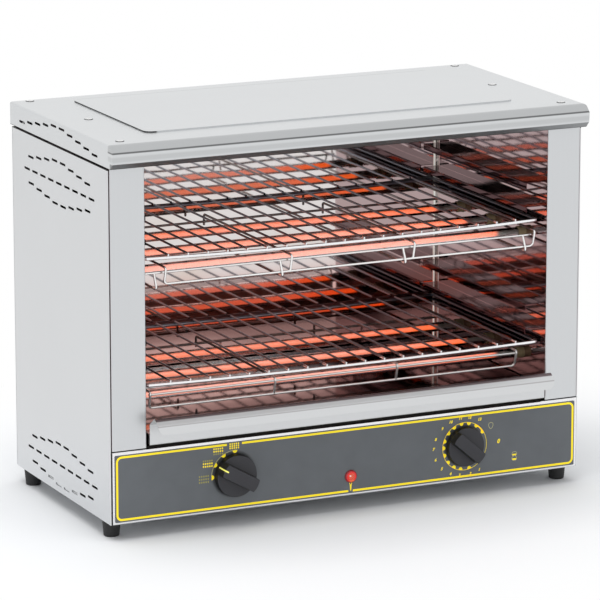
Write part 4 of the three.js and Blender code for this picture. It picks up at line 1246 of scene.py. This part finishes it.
def lens_material():
    """Red plastic, whose colour goes by the distance from the lens's middle: painted lamp light,
    with a painted highlight.
    """
    shader = Shader("lens_red", Metallic=0.0, Coat_Weight=0.3, Coat_Roughness=0.06)
    across, _, height = shader.spot()
    x, z = across - LENS_CENTRE[0], height - LENS_CENTRE[1]
    radius = (x * x + z * z).root()
    facets = shader.noise(shader.place(), 900.0, 1.0)
    rim = radius.step(5.6, 7.4)
    core = 1 - radius.step(3.2, 5.4)
    warm = (1 - z.step(-5.6, -3.2)) * (1 - rim)
    # A painted highlight: a small white glint up on the left, as the room's light would show on it.
    glint_x, glint_z = x + 1.4 + z * 0.45, z - 1.4
    glint = 1 - (glint_x * glint_x * 0.5 + glint_z * glint_z * 1.3).step(0.25, 0.9)
    ground = shader.blend(core, (0.86, 0.012, 0.012), (0.85, 0.12, 0.05))
    ground = shader.blend(facets.step(0.48, 0.62) * core, ground, (0.6, 0.02, 0.02))
    ground = shader.blend(warm * 0.6, ground, (1.0, 0.3, 0.08))
    ground = shader.blend(rim, ground, (0.28, 0.002, 0.008))
    ground = shader.blend(glint, ground, (1.0, 0.93, 0.9))
    shader.set("Base Color", ground)
    shader.set("Emission Color", ground)
    shader.set("Emission Strength", 0.12)
    shader.set("Roughness", 0.18 + facets * 0.1)
    return shader.material


LENS_PROFILE = rounded_profile(
    [
        (0.3, -0.3, 0), (8.0, -0.3, 0), (8.0, 1.5, 0.7), (6.6, 2.9, 0.7), (5.4, 3.3, 0.3),
        (5.0, 2.9, 0.3), (4.0, 3.7, 0.3), (3.4, 3.3, 0.3), (2.2, 4.1, 0.3), (0.3, 4.15, 0),
    ]
)
middle = node_box_mm("pilot_lens").mean(0)
middle[1] = -0.8
lens = turned(LENS_PROFILE, middle, (0, -1, 0), 64)
make_piece("pilot_lens_dome", [lens], lens_material(), "housing", ["pilot_lens"], 25)

# %% [markdown]
# ## Screws, the corner fold's painted highlight and the seal
#
# Pan-head screws hold the lid and the rear cover. A cross could be cut from a dome with a
# boolean, which leaves long thin faces. Here a head is a grid of radius and angle, and its height
# is the dome's, less a depth where the point lies in the cross. Under each lid screw a thin black
# ring is a painted shadow. Two straight wires follow: a pale glowing wire, a painted highlight on
# the fold in the chamber's rear corner, and the rubber cord that keeps light out of the lid's rear
# seam.


# %% Screws
def screw(centre, upward, radius=4.4, tall=1.25):
    """A pan head: height tall * (0.55 + 0.45 * (1 - share ** 3)), less a cross 0.55 mm deep."""
    sides = 64
    upward = np.array(upward, float)
    first = np.cross(upward, (0.36, 0.48, 0.8))
    first /= np.linalg.norm(first)
    second = np.cross(upward, first)
    share = np.concatenate([np.linspace(0.02, 0.96, 24), [1.0, 1.0]])[:, None]
    angle = full_turn(sides)[None, :]
    across, along = share * radius * np.cos(angle), share * radius * np.sin(angle)
    arm = np.minimum(np.abs(across), np.abs(along))
    cross = np.clip((0.62 - arm) / 0.25, 0, 1) * np.clip((2.6 - share * radius) / 0.4, 0, 1)
    height = tall * (0.55 + 0.45 * (1 - share**3)) - 0.55 * cross
    height[-1] = 0.0
    points = np.array(centre, float) + across[..., None] * first + along[..., None] * second
    points = points + height[..., None] * upward
    return points.reshape(-1, 3), [face[::-1] for face in tube_faces(len(share), sides)]


LID_TOP = 488.5
LID_SCREWS = [(297.0, 303.0), (277.0, 160.0), (297.0, 15.0)]
places = [(side * x, y, LID_TOP) for x, y in LID_SCREWS for side in (-1, 1)]
heads = [screw(place, (0, 0, 1)) for place in places]
make_piece("lid_screws", heads, screw_steel, "housing")
# A thin black ring under each lid screw: a painted shadow, made a piece.
shadow_ring = rounded_profile([(0.3, -0.1, 0), (5.5, -0.1, 0), (5.5, 0.25, 0.1), (0.3, 0.25, 0)], 4)
shadow_rings = [turned(shadow_ring, place, (0, 0, 1)) for place in places]
make_piece("lid_shadow_rings", shadow_rings, case_black, "housing")

REAR_SCREW_X = 305.0
REAR_SCREW_HEIGHTS = (60.0, 240.0, 420.0)
places = [(side * REAR_SCREW_X, REAR_FACE, z) for z in REAR_SCREW_HEIGHTS for side in (-1, 1)]
heads = [screw(place, (0, 1, 0)) for place in places]
make_piece("rear_screws", heads, screw_steel, "housing")

# %% Corner fold's highlight and seal
FOLD_X, FOLD_DEPTH = 268.8, 303.2
ends = (FOLD_X, FOLD_DEPTH, 125.0), (FOLD_X, FOLD_DEPTH, 478.0)
# A painted highlight: a thin pale wire that glows along the fold in the chamber's rear corner.
fold = wire(np.linspace(*ends, 8), 0.55, 12)
make_piece("back_corner_highlight", [fold], painted_corner_highlight, "housing")

SEAL_HALF, SEAL_HEIGHT, SEAL_RADIUS = 303.0, 459.0, 1.9
SEAL_DEPTH = REAR_FACE - 2.9
ends = [(side * SEAL_HALF, SEAL_DEPTH, SEAL_HEIGHT) for side in (-1, 1)]
seal = wire(ends, SEAL_RADIUS, 12)
make_piece("rear_seal", [seal], foot_black, "housing")

# %% [markdown]
# ## Finishes for the sheet metal
#
# These nodes are folded sheets and blocks, and their solids already have the right shape. Making
# them again would only risk a difference, so they get a material and nothing else.

# %% Finish the nodes
FINISHES = {
    lid_steel: ["top_cover"],
    panel_steel: ["left_side_panel", "right_side_panel", "rear_cover", "base_pan"],
    trim_steel: ["control_panel"],
    tray_steel: ["crumb_tray"],
    mirror_back: ["chamber_back_wall"],
    ceiling_grey: ["chamber_ceiling"],
    mirror_side: ["chamber_left_wall", "chamber_right_wall"],
    mirror_floor: ["chamber_floor"],
    overlay_grey: ["control_overlay"],
    zinc_plate: ["timer_body", "selector_spindle", "timer_spindle"],
    case_black: ["selector_switch", "lamp_holder", "cable_gland"],
    terminal_white: ["terminal_block"],
}
for material, names in FINISHES.items():
    for name in names:
        nodes[name].data.materials.clear()
        nodes[name].data.materials.append(material)
print(sum(len(names) for names in FINISHES.values()), "nodes finished")

# %% [markdown]
# ## Floor and light
#
# A pale floor runs far behind the toaster, so it is also the background. A brighter lamp could
# make it white, but would bleach the steel as well. So the floor and the world are plain white
# only to the camera and in reflections. The world gives a soft even light, and one large lamp
# adds the shadow.


# %% Floor
def floor_material():
    """Pale near the toaster, where it keeps the shadow, and plain white for the camera far off."""
    shader = Shader("floor_pale", Metallic=0.0, Roughness=0.85, Specular_IOR_Level=0.1)
    faint = shader.noise(shader.place(), 1.3, 2.0)
    shader.set("Base Color", shader.blend(faint, (0.87, 0.885, 0.905), (0.89, 0.90, 0.915)))
    across, depth, _ = shader.axes()
    away = (across * across + depth * depth * 1.6).root()
    white = shader.add("ShaderNodeEmission", None, {"Color": (1.0, 1.0, 1.0), "Strength": 1.0})
    far = away.step(0.36, 0.8) * shader.rays("Is Camera Ray", "Is Glossy Ray")
    values = {0: far, 1: shader.surface.outputs[0], 2: white.outputs[0]}
    mix = shader.add("ShaderNodeMixShader", None, values)
    shader.link(mix.outputs[0], shader.tree.nodes["Material Output"].inputs["Surface"])
    return shader.material


floor_mesh = bpy.data.meshes.new("floor")
corners = [(-30, -12, 0), (30, -12, 0), (30, 60, 0), (-30, 60, 0)]
floor_mesh.from_pydata(corners, [], [(0, 1, 2, 3)])
floor_mesh.materials.append(floor_material())
floor = add_to_scene("floor", floor_mesh)
print("floor laid")

# %% World and lamp
AMBIENT = 0.7
KEY_SIZE = 2.6
KEY_POWER = 62

world = bpy.data.worlds.new("studio")
bpy.context.scene.world = world
world.use_nodes = True
sky = Nodes(world.node_tree)
seen = sky.rays("Is Camera Ray", "Is Glossy Ray", "Is Transmission Ray")
background = sky.tree.nodes["Background"]
sky.link((1.0, 1.0, 1.0), background.inputs["Color"])
sky.link(seen * (1 - AMBIENT) + AMBIENT, background.inputs["Strength"])

key_data = bpy.data.lights.new("key", "AREA")
key_data.shape = "RECTANGLE"
key_data.size = KEY_SIZE
key_data.size_y = KEY_SIZE
key_data.energy = KEY_POWER
key = add_to_scene("key", key_data)
key.location = (-0.6, -0.4, 3.2)
key.rotation_euler = (math.radians(-6), math.radians(-11), 0)
key.visible_glossy = False

bpy.context.scene.view_settings.view_transform = "Standard"
print("studio lit")
